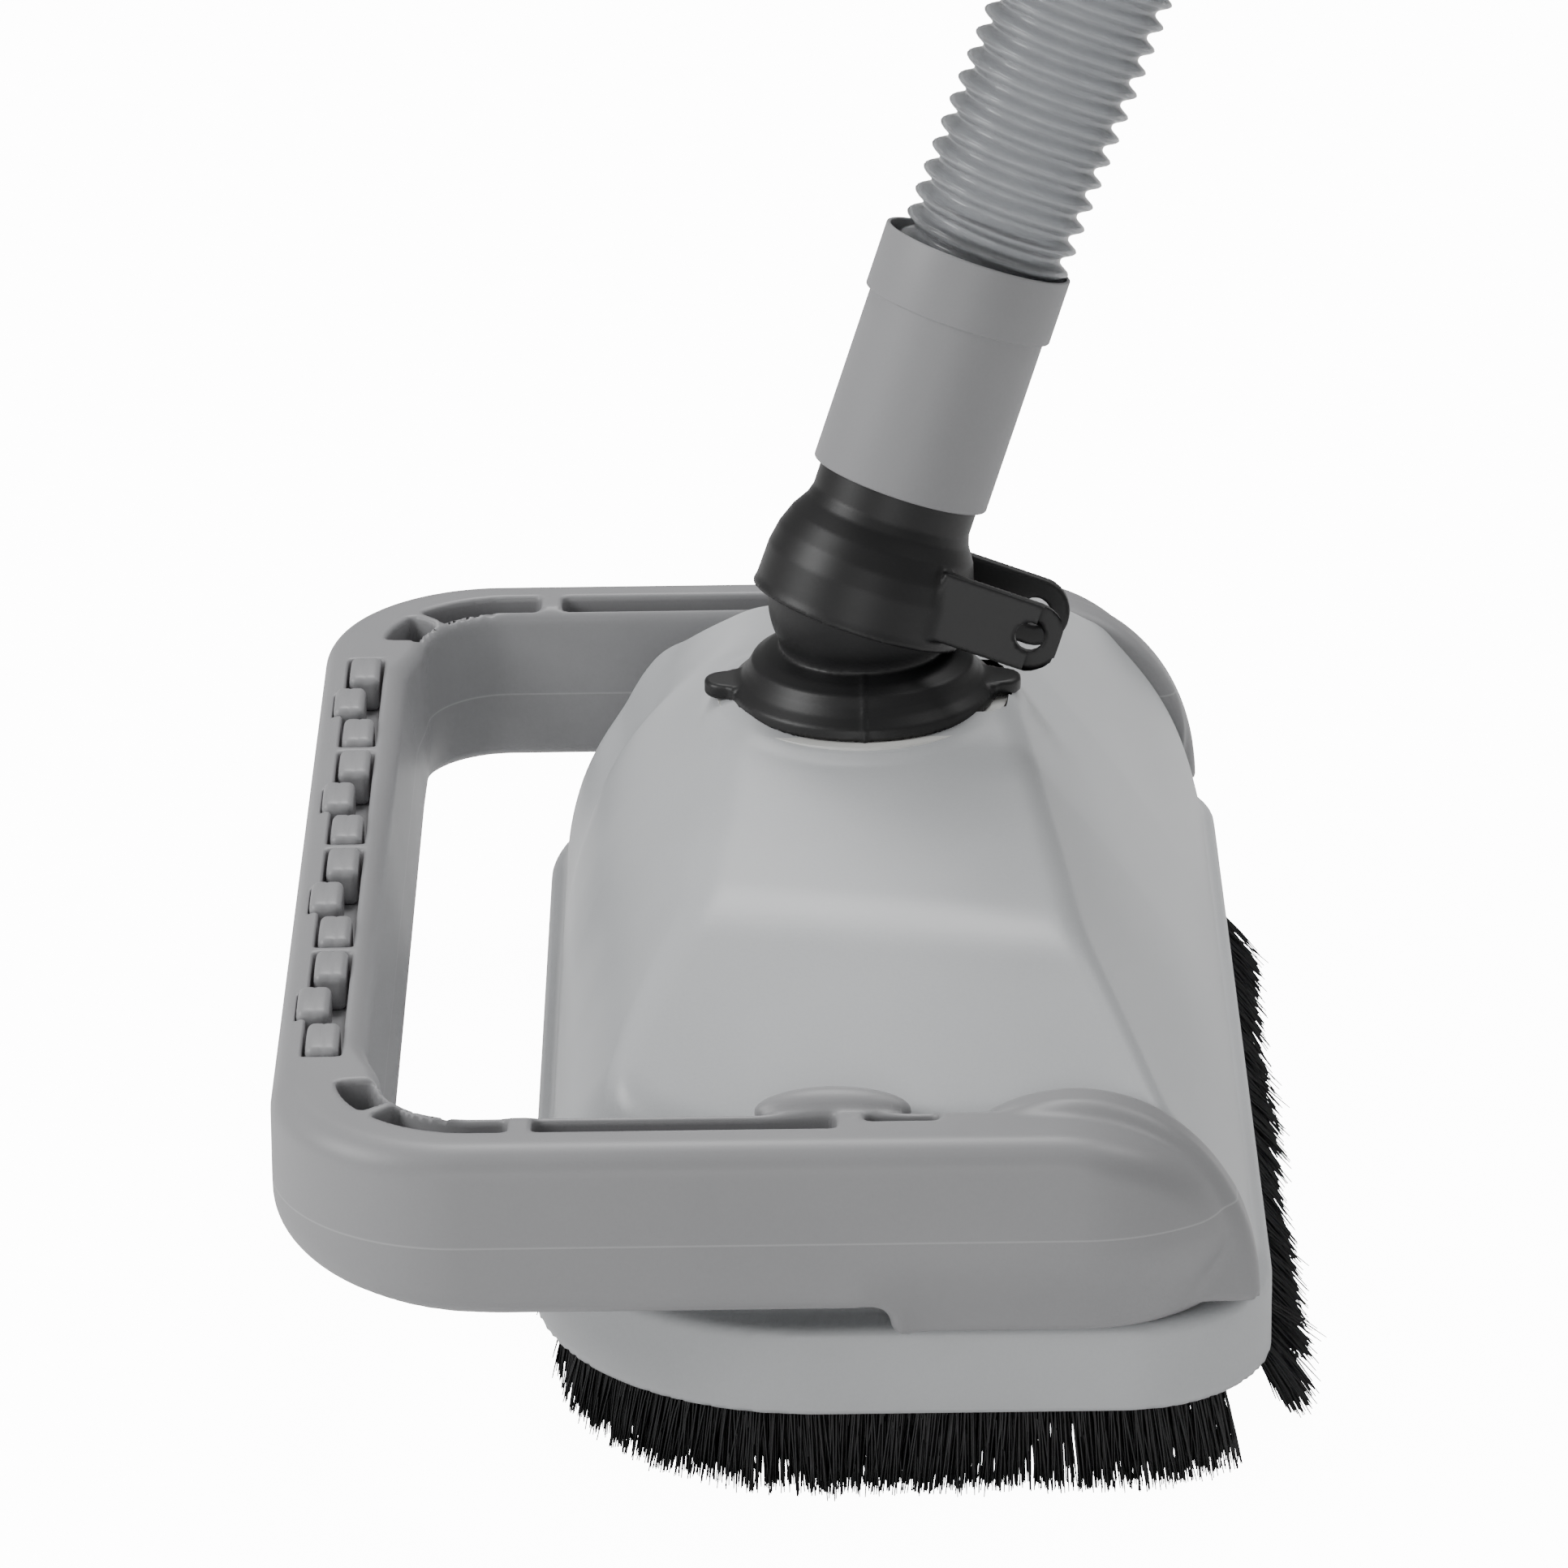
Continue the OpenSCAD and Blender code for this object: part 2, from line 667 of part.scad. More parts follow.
// Cone and neck between the flange and the ball
module flange_body() {
    rotate_extrude() polygon([[0, 0], [flange_r, 0], [flange_r, 3], [flange_r - 4.5, 4.6],
        [flange_r - 7.5, 7], [flange_r - 11, 10.6], [flange_r - 14.5, 12.8],
        [cone_neck_r, 13.8], [cone_neck_r, ball_up - 8],
        [0, ball_up - 8]]);
}

module swivel_ear() {
    translate([0, 0, flange_z + 0.6]) linear_extrude(4.2) {
        translate([flange_r + 0.5, 0]) circle(5.2);
        translate([flange_r - 8, -7]) square([8, 14]);
    }
}

module swivel_nut() {
    color("#1e1e1f") in_frame() difference() {
        union() {
            translate([0, 0, roof_under - 7.2]) cylinder(r = passage_r + 8, h = 6.9);
            for (a = [0:45:315]) rotate([0, 0, a]) translate([passage_r + 8, 0, roof_under - 7.2])
                cylinder(r = 2.5, h = 6.9);
        }
        translate([0, 0, roof_under - 10]) cylinder(r = passage_r - play, h = 20);
    }
}

// Cup that clips over the ball, its neck and the two clevis arms
module ball_cup() {
    color("#1e1e1f") leaning() difference() {
        union() {
            rotate_extrude() polygon([[15, -lip_drop], [cup_r + 0.6, -lip_drop], [cup_r + 0.2, -lip_drop / 2],
                [cup_r, 6.8], [cup_r - 1, 12.5], [cup_r - 3, 18], [cup_r - 5.8, 22.5],
                [neck_r, ball_r + 0.2], [neck_r, 56],
                [neck_r + 0.9, 56.5], [neck_r + 0.9, 57.5], [neck_r, 58], [neck_r, 62],
                [neck_r - 1, 63], [15, 63]]);
            rotate([0, 0, -31.2]) for (s = [-1, 1]) clevis_arm(s);
        }
        sphere(r = ball_r + play);
        translate([0, 0, -1]) cylinder(r = bore_r, h = 90);
        rotate([0, 0, -31.2]) translate([clevis_reach, 40, 7.9]) rotate([90, 0, 0])
            cylinder(r = clevis_hole_r, h = 80);
        rotate([0, 0, -31.2]) translate([cup_r + 0.9, -clevis_gap / 2 + 2.2, -10])
            cube([40, clevis_gap - 4.4, 40]);
    }
}

module clevis_arm(s) {
    translate([0, s * clevis_gap / 2 + 2.2, 0]) rotate([90, 0, 0]) linear_extrude(4.4) {
        translate([clevis_reach, 7.9]) circle(9.3);
        translate([19, -1.4]) square([clevis_reach - 19, 18.6]);
    }
}

module cuff_seal() {
    color("#0f0f10") leaning() difference() {
        translate([0, 0, 63.1]) cylinder(r = neck_r - 0.4, h = 2.4);
        translate([0, 0, 62]) cylinder(r = bore_r + 0.5, h = 6);
    }
}

// ---------- cuff, hose and end cuff ----------

module hose_cuff() {
    color("#97989a") leaning() difference() {
        union() {
            translate([0, 0, cuff_z0]) cylinder(r = cuff_r, h = cuff_z1 - cuff_z0);
            translate([0, 0, cuff_z1 - collar_h]) cylinder(r = collar_r, h = collar_h);
        }
        translate([0, 0, cuff_z0 - 1]) cylinder(r = neck_r + play, h = 65.5 - cuff_z0 + 1);
        rotate_extrude() polygon([[15, 55.9], [neck_r + play, 55.9],
            [neck_r + 0.9 + play, 56.4], [neck_r + 0.9 + play, 57.6],
            [neck_r + play, 58.1], [15, 58.1]]);
        translate([0, 0, 60]) cylinder(r = ledge_r, h = 60);
        translate([0, 0, hose_z0]) cylinder(r = socket_r, h = 60);
    }
}

lean_dir = [sin(lean) * cos(lean_az), sin(lean) * sin(lean_az), cos(lean)];
lean_u = [cos(lean) * cos(lean_az), cos(lean) * sin(lean_az), -sin(lean)];
lean_v = [-sin(lean_az), cos(lean_az), 0];
hose_sides = 12;
hose_rings = 4;

// Points of the hose route along its leaning axis
function route(i) = [swivel_x, 0, ball_z] + (hose_z0 + hose_l * i / (hose_rings - 1)) * lean_dir;

function ring(i, r) = [for (k = [0:hose_sides - 1])
    route(i) + r * (cos(360 * k / hose_sides) * lean_u + sin(360 * k / hose_sides) * lean_v)];

function tube_points(r) = [for (i = [0:hose_rings - 1]) each ring(i, r)];

// Faces of a hose wall: outer skin, inner skin and the two ring shaped ends
function skin(base, flip) = [for (i = [0:hose_rings - 2]) for (k = [0:hose_sides - 1])
    let (a = base + i * hose_sides + k,
        b = base + i * hose_sides + (k + 1) % hose_sides)
        flip ? [a, b, b + hose_sides, a + hose_sides] : [a, a + hose_sides, b + hose_sides, b]];

function end_face(i, flip) = [for (k = [0:hose_sides - 1])
    let (a = i * hose_sides + k, b = i * hose_sides + (k + 1) % hose_sides,
        n = hose_rings * hose_sides)
        flip ? [a, a + n, b + n, b] : [a, b, b + n, a + n]];

module hose() {
    color("#9a9da0") polyhedron(
        points = concat(tube_points(hose_r), tube_points(hose_r - 3.5)),
        faces = concat(skin(0, false), skin(hose_rings * hose_sides, true),
            end_face(0, false), end_face(hose_rings - 1, true)));
}

module hose_end_cuff() {
    z = hose_z0 + hose_l;
    color("#97989a") leaning() difference() {
        union() {
            translate([0, 0, z - 25]) cylinder(r = collar_r, h = 18);
            translate([0, 0, z - 25]) cylinder(r = cuff_r, h = 70);
        }
        translate([0, 0, z - 26]) cylinder(r = socket_r, h = 26);
        translate([0, 0, z - 1]) cylinder(r = hose_r - 4.2, h = 60);
        translate([0, 0, z + 15]) cylinder(r = cuff_r - 3.3, h = 60);
    }
}

// ---------- drawing ----------

top_housing();
base_plate();
base_screws();
bumper();
bar_cover();
bumper_screws();
chamber_near();
chamber_far();
chamber_screws();
oscillator();
oscillator_pin();
pin_caps();
outlet_seal();
float_block();
ballast_weight();
side_brush_holder();
side_bristles();
rear_brush_holder();
rear_bristles();
intake_rim();
swivel_washer();
swivel_base();
swivel_nut();
ball_cup();
cuff_seal();
hose_cuff();
hose();
hose_end_cuff();
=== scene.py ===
"""Looks of a suction pool cleaner head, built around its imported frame.

The head has a hipped housing, a U shaped bumper, brushes and a leaning hose on
a ball swivel. Shapes are worked out in millimetres in the head's own frame,
whose z axis is the swivel axis, and are stored in metres in the row frame.
"""

import logging
import math
from dataclasses import dataclass
from enum import Enum
from typing import Callable, Optional, Protocol, Sequence

import bpy
import numpy as np
from mathutils import Matrix, Vector


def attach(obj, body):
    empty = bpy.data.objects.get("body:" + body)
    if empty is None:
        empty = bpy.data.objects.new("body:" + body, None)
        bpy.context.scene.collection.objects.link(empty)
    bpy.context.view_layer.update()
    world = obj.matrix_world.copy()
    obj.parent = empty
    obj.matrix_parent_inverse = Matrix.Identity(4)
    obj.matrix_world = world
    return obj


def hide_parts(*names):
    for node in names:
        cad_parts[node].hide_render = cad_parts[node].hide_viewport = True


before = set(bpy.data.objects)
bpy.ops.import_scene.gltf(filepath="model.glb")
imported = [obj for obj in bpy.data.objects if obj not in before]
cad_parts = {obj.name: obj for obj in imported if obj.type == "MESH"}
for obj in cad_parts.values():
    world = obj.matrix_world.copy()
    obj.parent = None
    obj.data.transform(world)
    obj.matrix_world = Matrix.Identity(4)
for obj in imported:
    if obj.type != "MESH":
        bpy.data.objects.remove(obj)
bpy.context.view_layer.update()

LOG = logging.getLogger("pool_cleaner")
MM = 0.001
SWIVEL_X = 19.5
FLANGE_Z = 146.0
BALL_Z = 174.0
LEAN_DEG, LEAN_AZ_DEG = 21.1, 25.3

Array = np.ndarray
Field = Callable[[Array, Array, Array], Array]


class Body(Enum):
    """Rigid bodies of the frame that pieces ride on."""

    HEAD = "head"
    SWIVEL = "swivel"
    CUP = "cup"
    HOSE_END = "hose_end"


class Slot(Enum):
    """Material slots of the record."""

    HOUSING = "housing_grey"
    BUMPER = "bumper_grey"
    CUFF = "cuff_grey"
    SWIVEL = "swivel_black"
    BRISTLE = "bristle"
    HOSE = "hose_clear"


# ---------------------------------------------------------------- frames


@dataclass(frozen=True)
class Axes:
    """A right-handed set of axes with its origin, in millimetres in the row frame."""

    origin: tuple[float, float, float]
    x: tuple[float, float, float] = (1.0, 0.0, 0.0)
    y: tuple[float, float, float] = (0.0, 1.0, 0.0)
    z: tuple[float, float, float] = (0.0, 0.0, 1.0)

    def to_row(self, points: Array) -> Array:
        """Turns local points into row frame metres.

        Args:
            points: n by 3 array of local points in millimetres.

        Returns:
            n by 3 array in metres.
        """
        turn = np.array([self.x, self.y, self.z])
        return (np.asarray(points, float) @ turn + np.array(self.origin)) * MM

    def along(self, distance: float) -> tuple[float, float, float]:
        """Gives the point on the local z axis at a distance, in metres."""
        return tuple(float(v) for v in self.to_row(np.array([[0.0, 0.0, distance]]))[0])


def leaning_axes() -> Axes:
    """Gives the axes of the leaning neck, with the origin at the ball centre.

    Returns:
        The leaning axes.
    """
    lean, turn = math.radians(LEAN_DEG), math.radians(LEAN_AZ_DEG)
    ct, st, cl, sl = math.cos(turn), math.sin(turn), math.cos(lean), math.sin(lean)
    return Axes(
        (SWIVEL_X, 0.0, BALL_Z),
        (cl * ct, cl * st, -sl),
        (-st, ct, 0.0),
        (sl * ct, sl * st, cl),
    )


HEAD_AXES = Axes((SWIVEL_X, 0.0, 0.0))
NECK_AXES = leaning_axes()


# ---------------------------------------------------------------- fields


def rounded_max(a: Array, b: Array, radius: float) -> Array:
    """Intersects two fields and rounds the edge between them.

    Args:
        a: first distance field, negative inside.
        b: second distance field, negative inside.
        radius: edge radius in millimetres.

    Returns:
        The field of the rounded intersection.
    """
    corner = np.hypot(np.maximum(a + radius, 0), np.maximum(b + radius, 0))
    return np.minimum(np.maximum(a, b), -radius) + corner


def smooth_max(a: Array, b: Array, width: float) -> Array:
    """Intersects two fields and blends them softly over the given width."""
    blend = np.maximum(width - np.abs(a - b), 0) / width
    return np.maximum(a, b) + blend * blend * width / 4


def smooth_min(a: Array, b: Array, width: float) -> Array:
    """Joins two fields and blends them softly over the given width."""
    return -smooth_max(-a, -b, width)


def plan_distance(
    x: Array, y: Array, x0: float, x1: float, half: float, r0: float, r1: float
) -> Array:
    """Measures from a plan outline with one corner radius at each end.

    Args:
        x: points along the head.
        y: points across the head.
        x0: front end of the outline.
        x1: rear end of the outline.
        half: half width.
        r0: corner radius at the front.
        r1: corner radius at the rear.

    Returns:
        Signed distance, negative inside.
    """
    middle, reach = (x0 + x1) / 2, (x1 - x0) / 2
    r = np.where(x < middle, r0, r1)
    qx, qy = np.abs(x - middle) - reach + r, np.abs(y) - half + r
    outside = np.hypot(np.maximum(qx, 0), np.maximum(qy, 0))
    return np.minimum(np.maximum(qx, qy), 0) + outside - r


def face_distance(
    x: Array, z: Array, a: tuple[float, float], b: tuple[float, float]
) -> Array:
    """Measures from a flat face seen edge-on from a to b, solid on its right.

    Args:
        x: points along the head, in millimetres.
        z: points up from the floor, in millimetres.
        a: x and z where the face starts.
        b: x and z where it ends.

    Returns:
        Distances in millimetres, negative inside.
    """
    dx, dz = b[0] - a[0], b[1] - a[1]
    size = math.hypot(dx, dz)
    return (-dz * (x - a[0]) + dx * (z - a[1])) / size


def polygon_distance(u: Array, v: Array, points: Sequence[tuple[float, float]]) -> Array:
    """Measures from a closed polygon.

    Args:
        u: first coordinate.
        v: second coordinate.
        points: corners in order.

    Returns:
        Signed distance, negative inside.
    """
    u, v = np.broadcast_arrays(u, v)
    best = np.full(u.shape, np.inf, dtype=np.float32)
    inside = np.zeros(u.shape, dtype=bool)
    for (au, av), (bu, bv) in zip(points, list(points[1:]) + [points[0]]):
        eu, ev = bu - au, bv - av
        wu, wv = u - au, v - av
        t = np.clip((wu * eu + wv * ev) / (eu * eu + ev * ev), 0, 1)
        best = np.minimum(best, (wu - eu * t) ** 2 + (wv - ev * t) ** 2)
        if ev:
            crosses = ((av > v) != (bv > v)) & (u < au + eu * (v - av) / ev)
            inside ^= crosses
    return np.where(inside, -1, 1) * np.sqrt(best)


def box_distance(
    x: Array, y: Array, z: Array, half: tuple[float, float, float], radius: float
) -> Array:
    """Measures from a box with rounded edges, centred on the origin.

    Args:
        x: points along the x axis of the box.
        y: points along the y axis of the box.
        z: points along the z axis of the box.
        half: half of each side.
        radius: edge radius.

    Returns:
        Distances in millimetres, negative inside.
    """
    q = [np.abs(c) - h + radius for c, h in zip((x, y, z), half)]
    outside = np.sqrt(sum(np.maximum(c, 0) ** 2 for c in q))
    return np.minimum(np.maximum(np.maximum(q[0], q[1]), q[2]), 0) + outside - radius


def net_surface(
    field: Field, low: Sequence[float], high: Sequence[float], step: float
) -> tuple[Array, Array]:
    """Wraps the zero surface of a field in quads.

    Args:
        field: distance field of x, y and z in millimetres.
        low: lowest corner of the region.
        high: highest corner of the region.
        step: grid spacing.

    Returns:
        Vertices as an n by 3 array and quads as an m by 4 array.
    """
    axes = [np.arange(a, b + step, step, dtype=np.float32) for a, b in zip(low, high)]
    x, y, z = axes[0][:, None, None], axes[1][None, :, None], axes[2][None, None, :]
    value = np.broadcast_to(field(x, y, z), [len(a) for a in axes]).astype(np.float32)
    inside = value < 0
    corners = [(i, j, k) for i in (0, 1) for j in (0, 1) for k in (0, 1)]
    cells = tuple(n - 1 for n in value.shape)

    def corner_view(grid: Array, c: tuple[int, int, int]) -> Array:
        """Gives one corner's value for every cell."""
        return grid[tuple(slice(o, o + n) for o, n in zip(c, cells))]

    count = sum(corner_view(inside, c).astype(np.int8) for c in corners)
    mixed = (count > 0) & (count < 8)
    place = np.argwhere(mixed)
    index = np.full(cells, -1, dtype=np.int64)
    index[mixed] = np.arange(len(place))
    total, hits = np.zeros((len(place), 3)), np.zeros(len(place))
    at = {c: corner_view(value, c)[mixed] for c in corners}
    for c in corners:
        for axis in range(3):
            if c[axis]:
                continue
            d = tuple(1 if i == axis else v for i, v in enumerate(c))
            a, b = at[c], at[d]
            cut = (a < 0) != (b < 0)
            t = np.where(cut, a / np.where(cut, a - b, 1), 0)
            point = np.array(c, float)[None] + t[:, None] * (np.array(d) - np.array(c))
            total[cut] += point[cut]
            hits[cut] += 1
    verts = (place + total / hits[:, None]) * step + np.array([a[0] for a in axes])
    quads = []
    for axis in range(3):
        p, q = [i for i in range(3) if i != axis]
        first = [slice(1, n - 1) for n in value.shape]
        first[axis] = slice(0, value.shape[axis] - 1)
        second = list(first)
        second[axis] = slice(1, value.shape[axis])
        s0, s1 = inside[tuple(first)], inside[tuple(second)]
        edge = np.argwhere(s0 != s1) + np.array([0 if i == axis else 1 for i in range(3)])
        outward = s0[s0 != s1]
        ring = []
        for dp, dq in ((0, 0), (-1, 0), (-1, -1), (0, -1)):
            c = edge.copy()
            c[:, p] += dp
            c[:, q] += dq
            ring.append(index[c[:, 0], c[:, 1], c[:, 2]])
        quad = np.stack(ring, axis=1)
        flip = outward if axis == 1 else ~outward
        quad[flip] = quad[flip][:, ::-1]
        quads.append(quad)
    return settle(field, verts, step), np.concatenate(quads)


def settle(field: Field, verts: Array, step: float) -> Array:
    """Pulls net vertices onto the zero surface in two short steps.

    Args:
        field: distance field of x, y and z in millimetres.
        verts: n by 3 points near the surface.
        step: grid spacing of the net.

    Returns:
        n by 3 points on the surface.
    """
    h = 0.05
    for _ in range(2):
        x, y, z = verts.T
        value = field(x, y, z)
        slope = np.stack(
            [
                field(x + h, y, z) - field(x - h, y, z),
                field(x, y + h, z) - field(x, y - h, z),
                field(x, y, z + h) - field(x, y, z - h),
            ],
            axis=1,
        ) / (2 * h)
        size = np.maximum((slope**2).sum(axis=1), 0.2)
        move = -(value / size)[:, None] * slope
        reach = np.maximum(np.linalg.norm(move, axis=1) / (0.5 * step), 1)
        verts = verts + move / reach[:, None]
    return verts


def smooth_step(value: Array, low: float, high: float) -> Array:
    """Rises softly from 0 at low to 1 at high."""
    t = np.clip((value - low) / (high - low), 0, 1)
    return t * t * (3 - 2 * t)


# ---------------------------------------------------------------- finishes


def linear(hex_colour: str) -> tuple[float, float, float, float]:
    """Turns an sRGB hex colour into linear light.

    Args:
        hex_colour: six hex digits after a hash sign.

    Returns:
        Linear red, green and blue, and an alpha of 1.
    """
    parts = [int(hex_colour[i : i + 2], 16) / 255 for i in (1, 3, 5)]
    low = [c / 12.92 if c <= 0.04045 else ((c + 0.055) / 1.055) ** 2.4 for c in parts]
    return (low[0], low[1], low[2], 1.0)


def add_node(
    tree: bpy.types.NodeTree,
    kind: str,
    settings: Optional[dict] = None,
    inputs: Optional[dict] = None,
) -> bpy.types.Node:
    """Adds a node with its settings and links.

    Args:
        tree: node tree to add to.
        kind: the node's type name.
        settings: attribute values.
        inputs: socket name or number to a value or to another node's output.

    Returns:
        The new node.
    """
    made = tree.nodes.new(kind)
    for key, value in (settings or {}).items():
        setattr(made, key, value)
    for key, value in (inputs or {}).items():
        if isinstance(value, bpy.types.NodeSocket):
            tree.links.new(value, made.inputs[key])
        else:
            made.inputs[key].default_value = value
    return made


def start_material(name: str) -> tuple[bpy.types.Material, bpy.types.NodeTree]:
    """Makes an empty node material and returns it with its tree.

    Args:
        name: name of the material.

    Returns:
        The material and its tree.
    """
    material = bpy.data.materials.new(name)
    material.use_nodes = True
    material.node_tree.nodes.clear()
    return material, material.node_tree


def finish_material(tree: bpy.types.NodeTree, shader: bpy.types.Node) -> None:
    """Wires a shader to the material output."""
    add_node(tree, "ShaderNodeOutputMaterial", inputs={"Surface": shader.outputs[0]})


class Finish(Protocol):
    """What every finish gives."""

    name: str

    def material(self) -> bpy.types.Material:
        """Builds the node material."""


@dataclass(frozen=True)
class MouldedPlastic:
    """Injection moulded plastic with a fine spark-eroded grain.

    A real mould's grain is a few tenths of a millimetre at most. It is drawn
    coarser here, so that it still shows.
    """

    name: str
    colour: str
    tone: str
    roughness: float
    grain_mm: float = 0.8
    grain_height_mm: float = 0.05
    grain_strength: float = 0.35
    # Height of the parting line that gets a painted highlight; None leaves it out.
    seam_z_mm: Optional[float] = None
    ior: float = 1.5
    cloud_mm: float = 71.43
    rough_spread: float = 0.04
    seam_core_mm: float = 0.12
    seam_edge_mm: float = 0.35

    def material(self) -> bpy.types.Material:
        """Builds the node material.

        Returns:
            The finished material.
        """
        made, tree = start_material(self.name)
        place = add_node(tree, "ShaderNodeTexCoord").outputs["Object"]
        grain = add_node(
            tree,
            "ShaderNodeTexNoise",
            inputs={"Vector": place, "Scale": 1 / (self.grain_mm * MM), "Detail": 2.0},
        )
        cloud = add_node(
            tree,
            "ShaderNodeTexNoise",
            inputs={"Vector": place, "Scale": 1 / (self.cloud_mm * MM), "Detail": 3.0},
        )
        mixed = add_node(
            tree,
            "ShaderNodeMath",
            {"operation": "MULTIPLY_ADD"},
            {0: grain.outputs["Fac"], 1: 0.35, 2: cloud.outputs["Fac"]},
        )
        spread = add_node(
            tree,
            "ShaderNodeMapRange",
            inputs={0: mixed.outputs[0], 1: 0.45, 2: 0.9, 3: 0.0, 4: 1.0},
        )
        colour = add_node(
            tree,
            "ShaderNodeMix",
            {"data_type": "RGBA"},
            {0: spread.outputs[0], 6: linear(self.colour), 7: linear(self.tone)},
        ).outputs[2]
        # Painted highlight: a lighter line is screened over the colour along the parting line.
        if self.seam_z_mm is not None:
            colour = add_node(
                tree,
                "ShaderNodeMix",
                {"data_type": "RGBA", "blend_type": "SCREEN"},
                {0: self.painted_seam_highlight(tree, place), 6: colour, 7: (0.12, 0.12, 0.12, 1.0)},
            ).outputs[2]
        bump = add_node(
            tree,
            "ShaderNodeBump",
            inputs={
                "Height": grain.outputs["Fac"],
                "Strength": self.grain_strength,
                "Distance": self.grain_height_mm * MM,
            },
        )
        rough = add_node(
            tree,
            "ShaderNodeMapRange",
            inputs={
                0: cloud.outputs["Fac"],
                1: 0.3,
                2: 0.7,
                3: self.roughness - self.rough_spread,
                4: self.roughness + self.rough_spread,
            },
        )
        shader = add_node(
            tree,
            "ShaderNodeBsdfPrincipled",
            inputs={
                "Base Color": colour,
                "Roughness": rough.outputs[0],
                "IOR": self.ior,
                "Normal": bump.outputs[0],
            },
        )
        finish_material(tree, shader)
        return made

    def painted_seam_highlight(
        self, tree: bpy.types.NodeTree, place: bpy.types.NodeSocket
    ) -> bpy.types.NodeSocket:
        """Paints a light line on the thin flash where the two mould halves met: a painted
        highlight.

        Args:
            tree: node tree to add to.
            place: object coordinates.

        Returns:
            The share of the painted highlight at each point.
        """
        height = add_node(tree, "ShaderNodeSeparateXYZ", inputs={0: place}).outputs[2]
        apart = add_node(
            tree,
            "ShaderNodeMath",
            {"operation": "SUBTRACT"},
            {0: height, 1: self.seam_z_mm * MM},
        ).outputs[0]
        apart = add_node(tree, "ShaderNodeMath", {"operation": "ABSOLUTE"}, {0: apart})
        return add_node(
            tree,
            "ShaderNodeMapRange",
            inputs={
                0: apart.outputs[0],
                1: self.seam_core_mm * MM,
                2: self.seam_edge_mm * MM,
                3: 1.0,
                4: 0.0,
            },
        ).outputs[0]


@dataclass(frozen=True)
class NylonFilament:
    """Extruded black nylon filament: dark, with a soft shine along each strand."""

    name: str = "nylon_filament"
    colour: str = "#0E0E0F"
    tone: str = "#1C1C1E"
    roughness: float = 0.42
    strand_mm: float = 1.1
    ior: float = 1.53

    def material(self) -> bpy.types.Material:
        """Builds the node material.

        Returns:
            The finished material.
        """
        made, tree = start_material(self.name)
        place = add_node(tree, "ShaderNodeTexCoord").outputs["Object"]
        stretched = add_node(
            tree, "ShaderNodeMapping", inputs={"Vector": place, "Scale": (1, 1, 0.05)}
        )
        strand = add_node(
            tree,
            "ShaderNodeTexNoise",
            inputs={
                "Vector": stretched.outputs[0],
                "Scale": 1 / (self.strand_mm * MM),
                "Detail": 1.0,
            },
        )
        spread = add_node(
            tree,
            "ShaderNodeMapRange",
            inputs={0: strand.outputs["Fac"], 1: 0.35, 2: 0.7, 3: 0.0, 4: 1.0},
        )
        colour = add_node(
            tree,
            "ShaderNodeMix",
            {"data_type": "RGBA"},
            {0: spread.outputs[0], 6: linear(self.colour), 7: linear(self.tone)},
        )
        shader = add_node(
            tree,
            "ShaderNodeBsdfPrincipled",
            inputs={
                "Base Color": colour.outputs[2],
                "Roughness": self.roughness,
                "IOR": self.ior,
            },
        )
        finish_material(tree, shader)
        return made


@dataclass(frozen=True)
class TranslucentVinyl:
    """Soft clear vinyl with a grey tint: milky walls that pass some light."""

    name: str = "translucent_vinyl"
    colour: str = "#C9CBCE"
    tone: str = "#D6D8DA"
    roughness: float = 0.2
    cloud_mm: float = 9.0
    cloud_height_mm: float = 0.4
    passed: float = 0.82
    ior: float = 1.4

    def material(self) -> bpy.types.Material:
        """Builds the node material.

        Returns:
            The finished material.
        """
        made, tree = start_material(self.name)
        place = add_node(tree, "ShaderNodeTexCoord").outputs["Object"]
        cloud = add_node(
            tree,
            "ShaderNodeTexNoise",
            inputs={"Vector": place, "Scale": 1 / (self.cloud_mm * MM), "Detail": 3.0},
        )
        colour = add_node(
            tree,
            "ShaderNodeMix",
            {"data_type": "RGBA"},
            {0: cloud.outputs["Fac"], 6: linear(self.colour), 7: linear(self.tone)},
        )
        bump = add_node(
            tree,
            "ShaderNodeBump",
            inputs={
                "Height": cloud.outputs["Fac"],
                "Strength": 0.2,
                "Distance": self.cloud_height_mm * MM,
            },
        )
        shader = add_node(
            tree,
            "ShaderNodeBsdfPrincipled",
            inputs={
                "Base Color": colour.outputs[2],
                "Roughness": self.roughness,
                "IOR": self.ior,
                "Transmission Weight": self.passed,
                "Normal": bump.outputs[0],
            },
        )
        finish_material(tree, shader)
        return made


@dataclass(frozen=True)
class TurnedSteel:
    """Stainless steel, turned: a fine grain and an even satin reflection."""

    name: str = "turned_stainless"
    colour: str = "#B9BBBD"
    tone: str = "#9C9EA1"
    roughness: float = 0.3
    grain_mm: float = 0.4

    def material(self) -> bpy.types.Material:
        """Builds the node material.

        Returns:
            The finished material.
        """
        made, tree = start_material(self.name)
        place = add_node(tree, "ShaderNodeTexCoord").outputs["Object"]
        grain = add_node(
            tree,
            "ShaderNodeTexNoise",
            inputs={"Vector": place, "Scale": 1 / (self.grain_mm * MM), "Detail": 2.0},
        )
        colour = add_node(
            tree,
            "ShaderNodeMix",
            {"data_type": "RGBA"},
            {0: grain.outputs["Fac"], 6: linear(self.colour), 7: linear(self.tone)},
        )
        shader = add_node(
            tree,
            "ShaderNodeBsdfPrincipled",
            inputs={
                "Base Color": colour.outputs[2],
                "Metallic": 1.0,
                "Roughness": self.roughness,
            },
        )
        finish_material(tree, shader)
        return made


